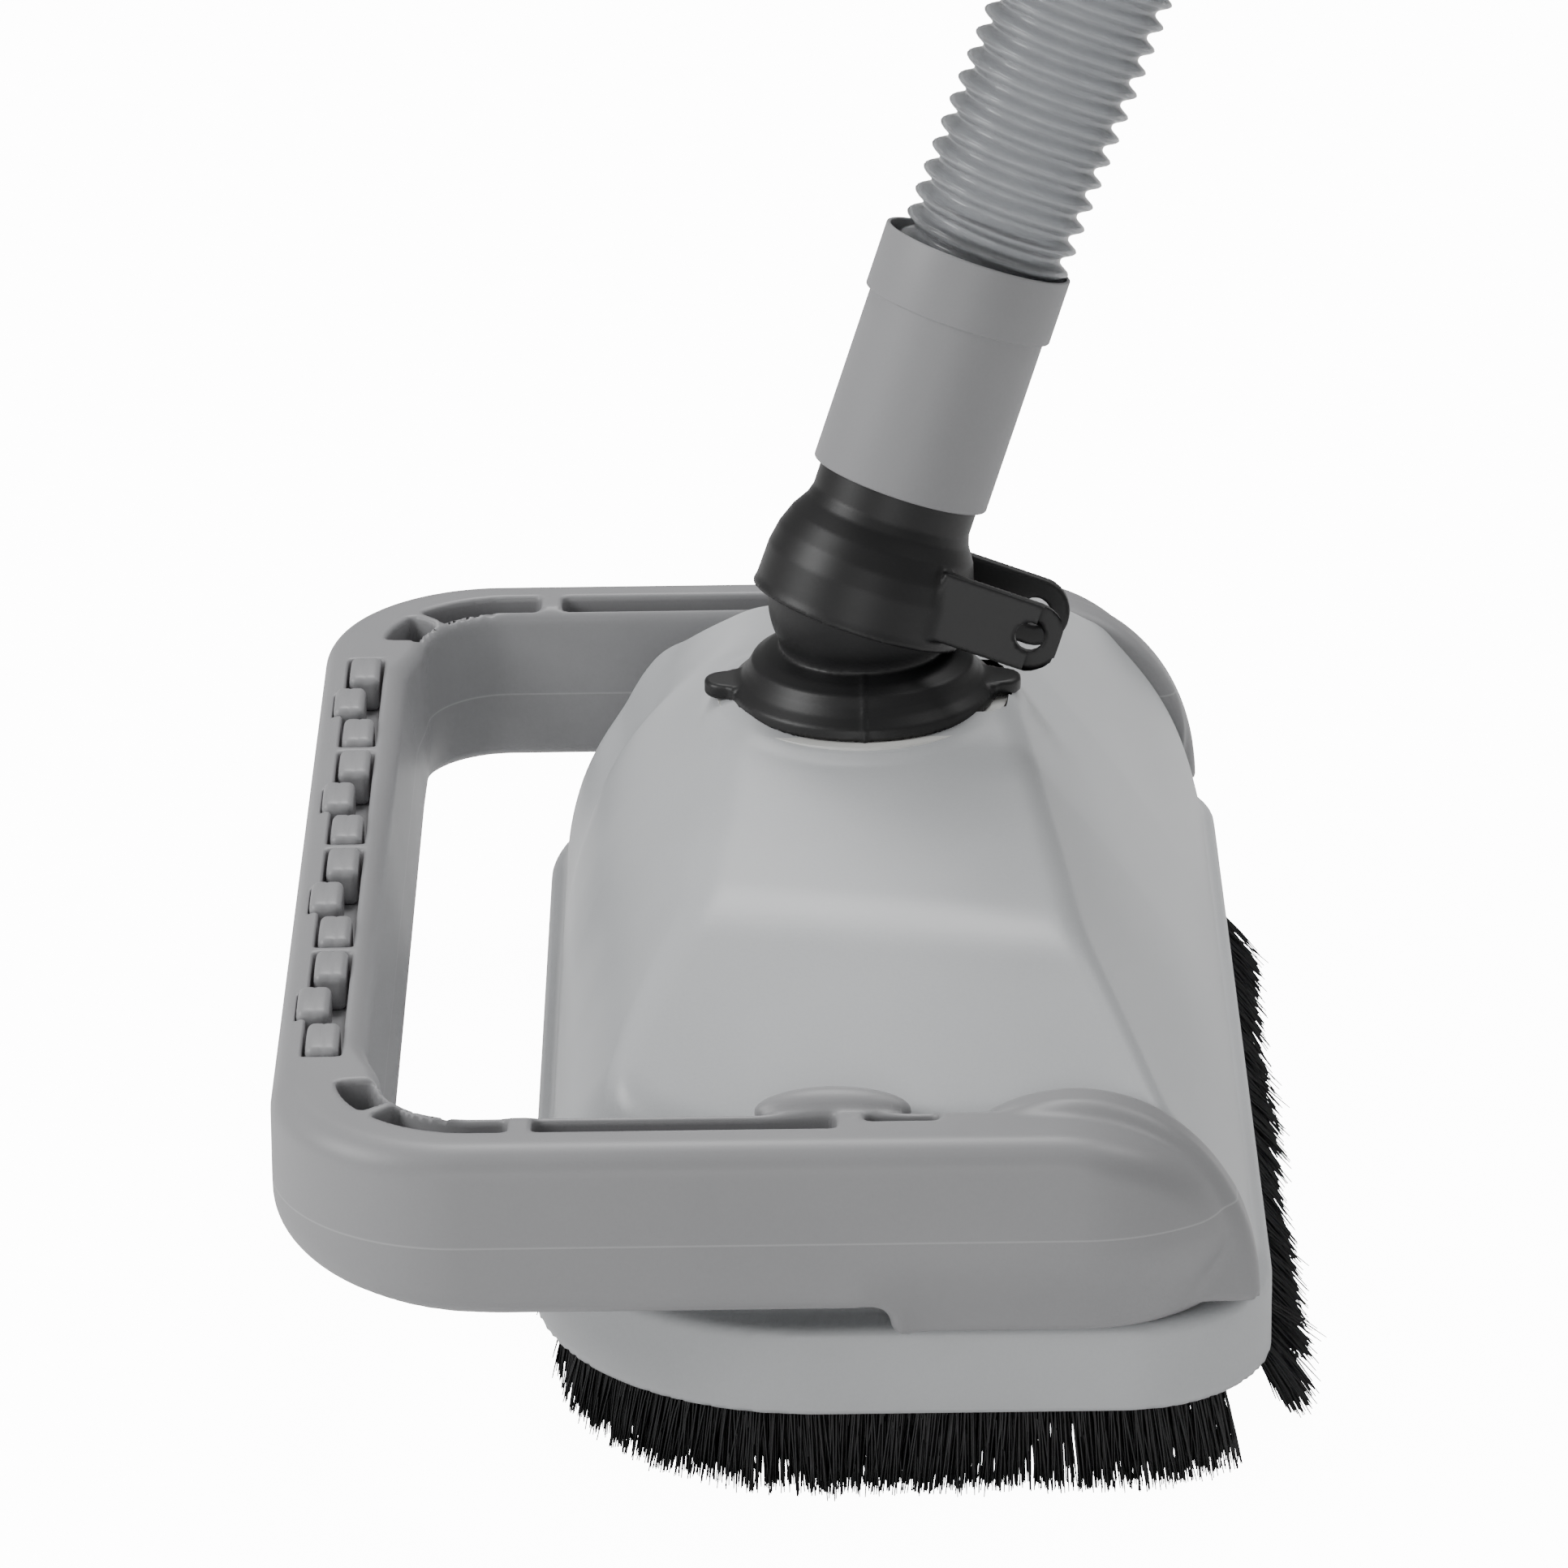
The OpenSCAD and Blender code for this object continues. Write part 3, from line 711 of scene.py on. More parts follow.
@dataclass(frozen=True)
class SweepPaper:
    """White sweep lit through from behind: matt, with a barely seen fibre."""

    name: str = "sweep_paper"
    backlight: float = 14.0
    colour: str = "#F4F4F4"
    tone: str = "#F8F8F8"
    fibre_mm: float = 16.67
    roughness: float = 0.9

    def material(self) -> bpy.types.Material:
        """Builds the node material.

        Returns:
            The finished material.
        """
        made, tree = start_material(self.name)
        place = add_node(tree, "ShaderNodeTexCoord").outputs["Object"]
        fibre = add_node(
            tree,
            "ShaderNodeTexNoise",
            inputs={"Vector": place, "Scale": 1 / (self.fibre_mm * MM), "Detail": 4.0},
        )
        colour = add_node(
            tree,
            "ShaderNodeMix",
            {"data_type": "RGBA"},
            {0: fibre.outputs["Fac"], 6: linear(self.colour), 7: linear(self.tone)},
        )
        shader = add_node(
            tree,
            "ShaderNodeBsdfPrincipled",
            inputs={"Base Color": colour.outputs[2], "Roughness": self.roughness},
        )
        lit = add_node(
            tree,
            "ShaderNodeEmission",
            inputs={"Color": colour.outputs[2], "Strength": self.backlight},
        )
        seen = add_node(tree, "ShaderNodeLightPath").outputs["Is Camera Ray"]
        both = add_node(
            tree,
            "ShaderNodeAddShader",
            inputs={0: shader.outputs[0], 1: lit.outputs[0]},
        )
        mixed = add_node(
            tree,
            "ShaderNodeMixShader",
            inputs={0: seen, 1: shader.outputs[0], 2: both.outputs[0]},
        )
        finish_material(tree, mixed)
        return made


# ABS, textured mould: light grey with a soft sheen and a grain that just shows.
HOUSING_ABS = MouldedPlastic("housing_abs", "#B5B7B9", "#BDBFC1", 0.36, 0.9, 0.06, 0.4)
# Polypropylene, smoother mould: a mid grey with a broad soft highlight.
# Its parting line at 77 mm gets a painted highlight, a lighter line in its colour.
BUMPER_PP = MouldedPlastic(
    "bumper_polypropylene", "#8D8D8F", "#939395", 0.42, 0.7, 0.03, 0.25, seam_z_mm=77.0
)
# Polyethylene cuff: matt mid grey, slightly waxy.
CUFF_PE = MouldedPlastic("cuff_polyethylene", "#8E8E90", "#949496", 0.5, 0.6, 0.02, 0.2)
# Acetal, black: dense and even, with a satin shine for the sliding ball.
SWIVEL_ACETAL = MouldedPlastic("swivel_acetal", "#0D0D0E", "#131314", 0.45, 0.6, 0.02, 0.2)
# Glass-filled polypropylene: hidden structure, dull black with a coarser grain.
DARK_PP = MouldedPlastic("structure_polypropylene", "#222223", "#2B2B2D", 0.6, 1.2, 0.05)
# Nylon washer: off white, slick.
WASHER_NYLON = MouldedPlastic("washer_nylon", "#DCDDDA", "#E6E6E2", 0.35, 0.8, 0.02, 0.15)
# Nitrile rubber seals: black, dull.
SEAL_NITRILE = MouldedPlastic("seal_nitrile", "#101011", "#18181A", 0.7, 1.0, 0.04)
# Polyurethane flap: brick red rubber with a soft skin.
FLAP_URETHANE = MouldedPlastic("flap_urethane", "#9C4030", "#A94A38", 0.5, 1.0, 0.04)
# Closed cell foam float: pale, cut skin with open cells.
FLOAT_FOAM = MouldedPlastic("float_foam", "#D8D1B4", "#C9C19F", 0.85, 2.2, 0.4, 0.9)
# Painted steel weight: grey primer, slightly pitted.
WEIGHT_PRIMER = MouldedPlastic("weight_primer", "#6C6F73", "#787B7F", 0.55, 1.5, 0.1, 0.5)
# Nylon bristles, extruded: nearly black, with a streak of shine that runs along them.
FILAMENT = NylonFilament()
# Soft vinyl hose, moulded: pale grey and cloudy, light enough to glow at its edges.
HOSE_VINYL = TranslucentVinyl()
# Stainless screws and pin, turned: bright, with an even satin shine.
SCREW_STEEL = TurnedSteel()
# Paper sweep: plain white, so that only the head stands out.
PAPER = SweepPaper()

# The CAD nodes that stay as they are, by the finish that each one gets.
CARRIED_OVER = {
    DARK_PP: (
        "base_plate",
        "chamber_near",
        "chamber_far",
        "pin_caps",
        "side_brush_holder",
        "rear_brush_holder",
    ),
    SCREW_STEEL: ("base_screws", "bumper_screws", "chamber_screws", "oscillator_pin"),
    FLAP_URETHANE: ("oscillator",),
    SEAL_NITRILE: ("outlet_seal", "cuff_seal", "intake_rim"),
    FLOAT_FOAM: ("float_block",),
    WEIGHT_PRIMER: ("ballast_weight",),
    WASHER_NYLON: ("swivel_washer",),
    SWIVEL_ACETAL: ("swivel_nut",),
}
_made: dict[str, bpy.types.Material] = {}


def material_of(finish: Finish) -> bpy.types.Material:
    """Gives a finish's material, built once.

    Args:
        finish: the finish to build.

    Returns:
        The finished material.
    """
    if finish.name not in _made:
        _made[finish.name] = finish.material()
    return _made[finish.name]


# ---------------------------------------------------------------- pieces


@dataclass
class Piece:
    """What a mesh needs to become a piece of the model."""

    name: str
    finish: Finish
    slot: Slot
    body: Body
    replaces: tuple[str, ...] = ()
    axes: Axes = HEAD_AXES

    def build(self, verts: Array, faces: Array) -> bpy.types.Object:
        """Makes the mesh object, dresses it and ties it to its body.

        Args:
            verts: n by 3 local points in millimetres.
            faces: m by 3 or m by 4 vertex numbers.

        Returns:
            The new object.
        """
        mesh = bpy.data.meshes.new(self.name)
        faces = np.asarray(faces)
        mesh.vertices.add(len(verts))
        mesh.vertices.foreach_set("co", self.axes.to_row(verts).ravel())
        size = faces.shape[1]
        mesh.loops.add(faces.size)
        mesh.loops.foreach_set("vertex_index", faces.ravel())
        mesh.polygons.add(len(faces))
        mesh.polygons.foreach_set("loop_start", np.arange(len(faces)) * size)
        mesh.polygons.foreach_set("use_smooth", np.ones(len(faces), dtype=bool))
        mesh.update(calc_edges=True)
        mesh.validate()
        mesh.materials.append(material_of(self.finish))
        made = bpy.data.objects.new(self.name, mesh)
        bpy.context.scene.collection.objects.link(made)
        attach(made, self.body.value)
        if self.replaces:
            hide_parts(*self.replaces)
        LOG.info("%s: %d vertices, %d faces", self.name, len(verts), len(faces))
        return made


def lathe(profile: Sequence[tuple[float, float]], sides: int = 120) -> tuple[Array, Array]:
    """Turns a closed profile of radius and height about the local z axis.

    Args:
        profile: closed loop of radius and height.
        sides: facets round the axis.

    Returns:
        Vertices and quads.
    """
    n = len(profile)
    angle = np.arange(sides) * 2 * math.pi / sides
    r = np.array([p[0] for p in profile])[None, :]
    z = np.array([p[1] for p in profile])[None, :]
    x, y = r * np.cos(angle)[:, None], r * np.sin(angle)[:, None]
    verts = np.stack([x, y, np.broadcast_to(z, x.shape)], axis=2).reshape(-1, 3)
    i, j = np.meshgrid(np.arange(sides), np.arange(n), indexing="ij")
    i1, j1 = (i + 1) % sides, (j + 1) % n
    quads = np.stack([i * n + j, i1 * n + j, i1 * n + j1, i * n + j1], axis=2)
    return verts, quads.reshape(-1, 4)


def filleted(
    corners: Sequence[tuple[float, float, float]], arcs: int = 5
) -> list[tuple[float, float]]:
    """Rounds the corners of a closed profile.

    Args:
        corners: u, v and corner radius of each corner.
        arcs: points on each rounded corner.

    Returns:
        The rounded profile.
    """
    out: list[tuple[float, float]] = []
    n = len(corners)
    for k in range(n):
        p = Vector(corners[k][:2])
        a = Vector(corners[k - 1][:2]) - p
        b = Vector(corners[(k + 1) % n][:2]) - p
        radius = corners[k][2]
        if radius <= 0:
            out.append((p.x, p.y))
            continue
        half = a.angle(b) / 2
        back = min(radius / math.tan(half), 0.49 * a.length, 0.49 * b.length)
        start, end = p + a.normalized() * back, p + b.normalized() * back
        for t in np.linspace(0, 1, arcs):
            q = start.lerp(p, t).lerp(p.lerp(end, t), t)
            out.append((q.x, q.y))
    return out


# ---------------------------------------------------------------- housing


@dataclass
class Housing:
    """Light grey moulded housing: hipped roof, round seat and skirt."""

    wall: float = 3.7
    seat_z: float = 144.0
    seat_r: float = 40.5
    passage_r: float = 22.05
    skirt_low: float = 23.0
    skirt_high: float = 47.0
    skirt_half: float = 188.0
    body_half: float = 174.0
    edge_blend: float = 5.0
    # The front edge drops and steps back towards both sides. The near half keeps
    # only this share of it, so the two halves are not quite mirror images.
    near_share: float = 0.4
    front_fall: float = 0.19
    front_back: float = 9.5
    step: float = 1.75

    def roof(self, x: Array, y: Array, z: Array) -> Array:
        """Gives the field of the roof slopes, flanks, front and rear faces.

        Args:
            x: points along the head, in millimetres.
            y: points across the head, in millimetres.
            z: points up from the floor, in millimetres.

        Returns:
            Distances in millimetres, negative inside.
        """
        side = np.abs(y)
        top = self.seat_z - 0.5
        share = self.near_share + (1 - self.near_share) * smooth_step(y, -80, 0)
        fall = share * self.front_fall * np.maximum(side - 38, 0) * smooth_step(z, 66, 105)
        back = share * self.front_back * smooth_step(side, 15, 100) * smooth_step(z + fall, 55, 96)
        slopes = [
            0.1895 * (side - 40) + 0.9819 * (z - top),
            -0.0537 * (x - 81) + 0.5113 * (side - self.body_half) + 0.8577 * (z - 98),
        ]
        front = [(-87.0, 45.0), (-83.0, 80.0), (-77.0, 101.0), (-66.0, 121.0), (-40.0, top)]
        rear = [(45.0, top), (62.0, 122.5), (81.0, 97.0), (97.0, 66.0), (102.0, 45.0)]
        ends = []
        for line, drop, away in ((front, fall, back), (rear, 0.35 * fall, 0.0)):
            flat = None
            for a, b in zip(line, line[1:]):
                one = face_distance(x - away, z + drop, a, b)
                flat = one if flat is None else smooth_max(flat, one, 8.0)
            ends.append(flat)
        out = smooth_max(slopes[0], slopes[1], 3.8)
        for flat in ends:
            out = smooth_max(out, flat, self.edge_blend)
        plan = plan_distance(x, y, -87, 102, self.body_half, 64, 32)
        return smooth_max(out, plan, 9.0)

    def outer(self, x: Array, y: Array, z: Array) -> Array:
        """Gives the field of the outer form, still solid.

        Args:
            x: points along the head, in millimetres.
            y: points across the head, in millimetres.
            z: points up from the floor, in millimetres.

        Returns:
            Distances in millimetres, negative inside.
        """
        body = np.maximum(self.roof(x, y, z), 40 - z)
        reach = np.hypot(x, y)
        seat = np.maximum(rounded_max(reach - self.seat_r, z - self.seat_z, 1.2), 120 - z)
        plan = plan_distance(x, y, -89, 103, self.skirt_half, 75, 40)
        skirt = rounded_max(plan, z - self.skirt_high, 3.0)
        skirt = rounded_max(skirt, self.skirt_low - z, 0.8)
        return smooth_min(smooth_min(body, seat, 5.0), skirt, 4.0)

    def inner(self, x: Array, y: Array, z: Array) -> Array:
        """Gives the field of the hollow inside.

        Args:
            x: points along the head, in millimetres.
            y: points across the head, in millimetres.
            z: points up from the floor, in millimetres.

        Returns:
            Distances in millimetres, negative inside.
        """
        body = np.maximum(self.roof(x, y, z) + self.wall, 30 - z)
        body = np.maximum(body, z - self.seat_z + 3.5)
        plan = plan_distance(x, y, -89, 103, self.skirt_half, 75, 40) + self.wall
        return np.minimum(body, np.maximum(plan, z - self.skirt_high + self.wall))

    def field(self, x: Array, y: Array, z: Array) -> Array:
        """Gives the field of the moulded wall with the swivel's passage.

        Args:
            x: points along the head, in millimetres.
            y: points across the head, in millimetres.
            z: points up from the floor, in millimetres.

        Returns:
            Distances in millimetres, negative inside.
        """
        wall = np.maximum(self.outer(x, y, z), -self.inner(x, y, z))
        passage = np.maximum(np.hypot(x, y) - self.passage_r, 100 - z)
        return rounded_max(wall, -passage, 0.4)

    def build(self) -> None:
        """Makes the housing piece."""
        verts, quads = net_surface(
            self.field, (-92, -191, 20), (106, 191, 147), self.step
        )
        Piece(
            "housing_shell", HOUSING_ABS, Slot.HOUSING, Body.HEAD, ("top_housing",)
        ).build(verts, quads)


# ---------------------------------------------------------------- bumper


@dataclass
class Bumper:
    """Mid grey U shaped bumper with pockets in its top and snap heads in its bar."""

    reach: float = 154.0
    half: float = 200.0
    bar_w: float = 29.0
    arm_t: float = 26.0
    top: float = 103.0
    low: float = 57.0
    low_rear: float = 47.0
    step_x: float = 4.0
    corner_r: float = 50.0
    dome_x: float = 45.0
    rear_x: float = 99.0
    pocket_w: float = 9.6
    pocket_floor: float = 82.0
    pitch: float = 23.3
    bar_mid: float = -141.2
    head_up: float = 1.5
    head_shift: float = 3.4
    bar_core_half: float = 9.1
    arm_core_half: float = 8.0
    bar_core_at: float = 15.0
    arm_core_at: float = 13.0
    core_deep: float = 16.0
    seam_z: float = 77.0
    draft: float = 0.012
    rear_tuck: float = 8.5
    bar_draft: float = 5.0
    wide_pockets: tuple[tuple[float, float], ...] = ((4.0, 26.5), (30.0, 70.0), (76.0, 153.0))
    slim_pocket: tuple[float, float] = (160.0, 179.0)
    step: float = 1.25

    def across(self, x: Array, y: Array) -> tuple[Array, Array]:
        """Gives the distances outside the outer and inside the inner outline.

        Args:
            x: points along the head, in millimetres.
            y: points across the head, in millimetres.

        Returns:
            Distance outside the outer outline, and outside the inner one.
        """
        rear = self.rear_x + 5
        outer = plan_distance(x, y, -self.reach, rear, self.half, self.corner_r, 52)
        inner_x = -self.reach + self.bar_w
        inner = plan_distance(x, y, inner_x, 102, self.half - self.arm_t, 24, 32)
        return outer, inner

    def round_corner(self, x: Array, y: Array) -> Array:
        """Gives the run along a front corner's middle line, then along the arm.

        Args:
            x: points along the head, in millimetres.
            y: points across the head, in millimetres.

        Returns:
            The run in millimetres.
        """
        side = np.abs(y)
        cx, cy = -self.reach + self.corner_r, self.half - self.corner_r
        angle = np.arctan2(np.maximum(side - cy, 1e-6), np.maximum(cx - x, 1e-6))
        run = angle * 37.0
        run = np.where(x > cx, 58.1 + x - cx, run)
        return np.where(side < cy, side - cy, run)

    def body(self, x: Array, y: Array, z: Array) -> Array:
        """Gives the field of the plain bumper.

        Args:
            x: points along the head, in millimetres.
            y: points across the head, in millimetres.
            z: points up from the floor, in millimetres.

        Returns:
            Distances in millimetres, negative inside.
        """
        outer, inner = self.across(x, y)
        draft = self.draft * np.abs(z - self.seam_z)
        tuck = self.rear_tuck * smooth_step(-z, -74, -47) * smooth_step(x, -6, 14)
        outer, inner = outer + draft + tuck, inner - draft
        round_r = self.rear_x - self.dome_x
        dome = np.hypot(x - self.dome_x, z - (self.top - round_r)) - round_r
        lid = np.where(x > self.dome_x, dome, z - self.top)
        rear = rounded_max(self.low_rear - z, self.step_x - x, 5.0)
        foot = smooth_min(self.low - z, rear, 7.0)
        foot_r = 3.0 + 11.0 * (1 - smooth_step(x, -150, -92))
        foot_r = foot_r + 2.5 * (1 - smooth_step(x, self.step_x - 8, self.step_x + 4))
        bar = smooth_step(-x, 104, 122) * smooth_step(-np.abs(y), -152, -128)
        up = np.clip((z - self.low) / (self.top - self.low), 0, 1)
        inner = inner - bar * self.bar_draft * up
        parts = [
            rounded_max(outer, lid, 8.0),
            rounded_max(-inner, lid, 4.5 + bar),
            rounded_max(outer, foot, foot_r),
            rounded_max(-inner, foot, 4.0),
        ]
        out = parts[0]
        for part in parts[1:]:
            out = np.maximum(out, part)
        return smooth_min(out, self.fairings(x, y, z), 2.5)

    def fairings(self, x: Array, y: Array, z: Array) -> Array:
        """Gives the field of the two low swellings where an arm meets the housing.

        Args:
            x: points along the head, in millimetres.
            y: points across the head, in millimetres.
            z: points up from the floor, in millimetres.

        Returns:
            Distances in millimetres, negative inside.
        """
        side = np.abs(y) - (self.half - self.arm_t)
        swell = ((x + 10) / 20) ** 2 + ((side + 4) / 6) ** 2 + ((z - 100) / 6.5) ** 2
        swell = np.sqrt(swell)
        arch = np.hypot((x - 51) / 47.5, (z - 50) / 55.5) - 1
        arch = rounded_max(arch * 50, np.abs(side + 1) - 7.5, 5.0)
        arch = np.maximum(arch, self.low_rear + 3 - z)
        return np.minimum((swell - 1) * 6, arch)

    def pockets(self, x: Array, y: Array, z: Array) -> Array:
        """Gives the field of the pockets in the top of the arms and corners.

        Args:
            x: points along the head, in millimetres.
            y: points across the head, in millimetres.
            z: points up from the floor, in millimetres.

        Returns:
            Distances in millimetres, negative inside.
        """
        _, inner = self.across(x, y)
        run = self.round_corner(x, y)
        wide = np.abs(inner - 2.4 - self.pocket_w / 2) - self.pocket_w / 2
        slim = np.abs(inner - 5.2) - 2.8
        out = None
        rows = [(wide, *ends) for ends in self.wide_pockets]
        for across, a, b in rows + [(slim, *self.slim_pocket)]:
            length = np.abs(run - (a + b) / 2) - (b - a) / 2
            one = rounded_max(across, length, 2.0)
            out = one if out is None else np.minimum(out, one)
        return np.maximum(out, self.pocket_floor - z)

    def bar_cell(self, y: Array) -> tuple[Array, Array]:
        """Gives each point's snap head number and its distance from that head."""
        number = np.clip(np.floor(y / self.pitch) + 6, 0, 11)
        return number, y - (number - 5.5) * self.pitch

    def bar_slots(self, x: Array, y: Array, z: Array) -> Array:
        """Gives the field of the slots for the snap heads in the bar.

        Args:
            x: points along the head, in millimetres.
            y: points across the head, in millimetres.
            z: points up from the floor, in millimetres.

        Returns:
            Distances in millimetres, negative inside.
        """
        group = np.clip(np.floor(y / (3 * self.pitch) + 2), 0, 3)
        mid = (3 * group - 4.5) * self.pitch
        slot = rounded_max(
            np.abs(x - self.bar_mid) - 5.2, np.abs(y - mid) - self.pitch - 10, 1.2
        )
        number, off = self.bar_cell(y)
        shifted = rounded_max(
            np.abs(x - self.bar_mid + self.head_shift) - 4.7, np.abs(off) - 9.1, 1.0
        )
        notch = np.where(number % 3 == 1, shifted, 50.0)
        return np.maximum(np.minimum(slot, notch), self.top - 9 - z)

    def coring(self, x: Array, y: Array, z: Array) -> Array:
        """Gives the field of the hollows in the underside.

        Args:
            x: points along the head, in millimetres.
            y: points across the head, in millimetres.
            z: points up from the floor, in millimetres.

        Returns:
            Distances in millimetres, negative inside.
        """
        _, inner = self.across(x, y)
        on_bar = np.abs(y) < self.half - self.corner_r
        half = np.where(on_bar, self.bar_core_half, self.arm_core_half)
        middle = np.where(on_bar, self.bar_core_at, self.arm_core_at)
        out = np.maximum(np.abs(inner - middle) - half, z - self.low - self.core_deep)
        return np.maximum(out, x - self.step_x + 7)

    def field(self, x: Array, y: Array, z: Array) -> Array:
        """Gives the field of the finished bumper.

        Args:
            x: points along the head, in millimetres.
            y: points across the head, in millimetres.
            z: points up from the floor, in millimetres.

        Returns:
            Distances in millimetres, negative inside.
        """
        out = rounded_max(self.body(x, y, z), -self.pockets(x, y, z), 1.0)
        out = rounded_max(out, -self.bar_slots(x, y, z), 0.8)
        return rounded_max(out, -self.coring(x, y, z), 1.5)

    def heads(self, x: Array, y: Array, z: Array) -> Array:
        """Gives the field of the cover strip with its twelve snap heads.

        Args:
            x: points along the head, in millimetres.
            y: points across the head, in millimetres.
            z: points up from the floor, in millimetres.

        Returns:
            Distances in millimetres, negative inside.
        """
        number, off = self.bar_cell(y)
        shift = np.where(number % 3 == 1, self.head_shift, 0.0)
        high = self.top + self.head_up
        u = x - self.bar_mid + shift
        crown = high + 0.5 - 0.012 * off * off
        head = box_distance(u, off, z - (crown - 5.25), (4.3, 8.75, 5.25), 2.0)
        head = head + 0.22 * np.exp(-((u / 0.35) ** 2)) * (z > high - 2)
        shank = box_distance(u, off, z - 77, (3.0, 6.0, 18.5), 0.3)
        inner = z - self.low - 1.5
        strip = box_distance(x + self.reach - 14, y, inner, (8.8, 149.8, 1.5), 0.5)
        strip = np.maximum(strip, self.body(x, y, z) + 0.1)
        return np.minimum(np.minimum(head, shank), strip)

    def build(self) -> None:
        """Makes the bumper and the cover strip."""
        verts, quads = net_surface(
            self.field, (-157, -203, 44), (102, 203, 111), self.step
        )
        Piece("bumper_shell", BUMPER_PP, Slot.BUMPER, Body.HEAD, ("bumper",)).build(
            verts, quads
        )
        verts, quads = net_surface(self.heads, (-152, -152, 55), (-129, 152, 107), 0.7)
        Piece("bar_heads", BUMPER_PP, Slot.BUMPER, Body.HEAD, ("bar_cover",)).build(
            verts, quads
        )


# ---------------------------------------------------------------- swivel


@dataclass
class SwivelBase:
    """Black flange with two ears, its cone and the ball."""

    flange_r: float = 37.5
    ball_up: float = 28.0
    ball_r: float = 25.3
    bore_r: float = 17.5
    stem_r: float = 21.95
    step: float = 0.8

    def field(self, x: Array, y: Array, z: Array) -> Array:
        """Gives the field of the swivel base, z from the flange's foot.

        Args:
            x: points along the local x axis, in millimetres.
            y: points along the local y axis, in millimetres.
            z: points along the local z axis, in millimetres.

        Returns:
            Distances in millimetres, negative inside.
        """
        r = np.hypot(x, y)
        f = self.flange_r
        seam = 0.35 * np.exp(-((x / 0.6) ** 2)) * (y < 0) * (z < 14)
        cone = polygon_distance(
            r,
            z,
            [
                (5, 0.4),
                (f - 2.0, 0.4),
                (f - 2.4, 3.0),
                (f - 5.0, 5.4),
                (f - 6.6, 7.6),
                (f - 8.0, 10.2),
                (f - 11.2, 12.2),
                (f - 15.6, 13.8),
                (f - 16.5, 20.0),
                (5, 20.0),
            ],
        )
        ball = np.hypot(r, z - self.ball_up) - self.ball_r
        stem = np.maximum(np.maximum(r - self.stem_r, z - 2), -18 - z)
        ear = np.hypot(np.abs(x) - f + 0.6, y) - 5.8
        root = np.maximum(np.abs(y) - 7.0, np.abs(np.abs(x) - f + 6) - 4)
        ear = smooth_min(ear, root, 3.0)
        ear = rounded_max(ear, np.abs(z - 2.7) - 2.1, 0.9)
        out = smooth_min(cone - 0.4 - seam, ball, 1.5)
        out = smooth_min(np.minimum(out, stem), ear, 1.2)
        out = np.maximum(out, z - self.ball_up - 14)
        return np.maximum(out, self.bore_r - r)

    def build(self) -> None:
        """Makes the swivel base piece."""
        axes = Axes((SWIVEL_X, 0.0, FLANGE_Z))
        verts, quads = net_surface(self.field, (-45, -40, -20), (45, 40, 44), self.step)
        Piece(
            "swivel_flange",
            SWIVEL_ACETAL,
            Slot.SWIVEL,
            Body.SWIVEL,
            ("swivel_base",),
            axes,
        ).build(verts, quads)


@dataclass
class BallCup:
    """Black cup over the ball, its neck and the two clevis arms."""

    ball_r: float = 25.35
    bore_r: float = 17.5
    neck_r: float = 22.0
    arm_turn_deg: float = -31.2
    hole_reach: float = 45.8
    hole_up: float = 7.9
    hole_r: float = 3.9
    arm_gap: float = 37.0
    arm_half: float = 2.2
    end_r: float = 9.3
    step: float = 0.8

    def arms(self, x: Array, y: Array, z: Array) -> Array:
        """Gives the field of the two clevis arms.

        Args:
            x: points along the local x axis, in millimetres.
            y: points along the local y axis, in millimetres.
            z: points along the local z axis, in millimetres.

        Returns:
            Distances in millimetres, negative inside.
        """
        turn = math.radians(self.arm_turn_deg)
        out_along = x * math.cos(turn) + y * math.sin(turn)
        aside = np.abs(-x * math.sin(turn) + y * math.cos(turn)) - self.arm_gap / 2
        end = np.hypot(out_along - self.hole_reach, z - self.hole_up) - self.end_r
        bar = np.maximum(np.abs(z - self.hole_up) - self.end_r, 19 - out_along)
        bar = np.maximum(bar, out_along - self.hole_reach)
        hole = np.hypot(out_along - self.hole_reach, z - self.hole_up) - self.hole_r
        plate = rounded_max(np.minimum(end, bar), np.abs(aside) - self.arm_half, 0.7)
        return rounded_max(plate, -hole, 0.4)

    def field(self, x: Array, y: Array, z: Array) -> Array:
        """Gives the field of the cup, z along the neck from the ball centre.

        Args:
            x: points along the local x axis, in millimetres.
            y: points along the local y axis, in millimetres.
            z: points along the local z axis, in millimetres.

        Returns:
            Distances in millimetres, negative inside.
        """
        r = np.hypot(x, y)
        shell = polygon_distance(
            r,
            z,
            [
                (5, -4.6),
                (28.8, -4.6),
                (28.4, -2.5),
                (28.2, 6.8),
                (27.2, 12.4),
                (25.2, 17.8),
                (22.5, 22.1),
                (self.neck_r - 0.4, 25.2),
                (self.neck_r - 0.4, 61.5),
                (self.neck_r - 1, 62.5),
                (5, 62.5),
            ],
        )
        out = smooth_min(shell - 0.4, self.arms(x, y, z), 2.0)
        out = np.maximum(out, self.ball_r - np.sqrt(x * x + y * y + z * z))
        return np.maximum(out, np.where(z > 0, self.bore_r - r, -50.0))

    def build(self) -> None:
        """Makes the cup piece."""
        verts, quads = net_surface(
            self.field, (-32, -42, -8), (58, 33, 65), self.step
        )
        Piece(
            "neck_cup", SWIVEL_ACETAL, Slot.SWIVEL, Body.CUP, ("ball_cup",), NECK_AXES
        ).build(verts, quads)


# ---------------------------------------------------------------- hose


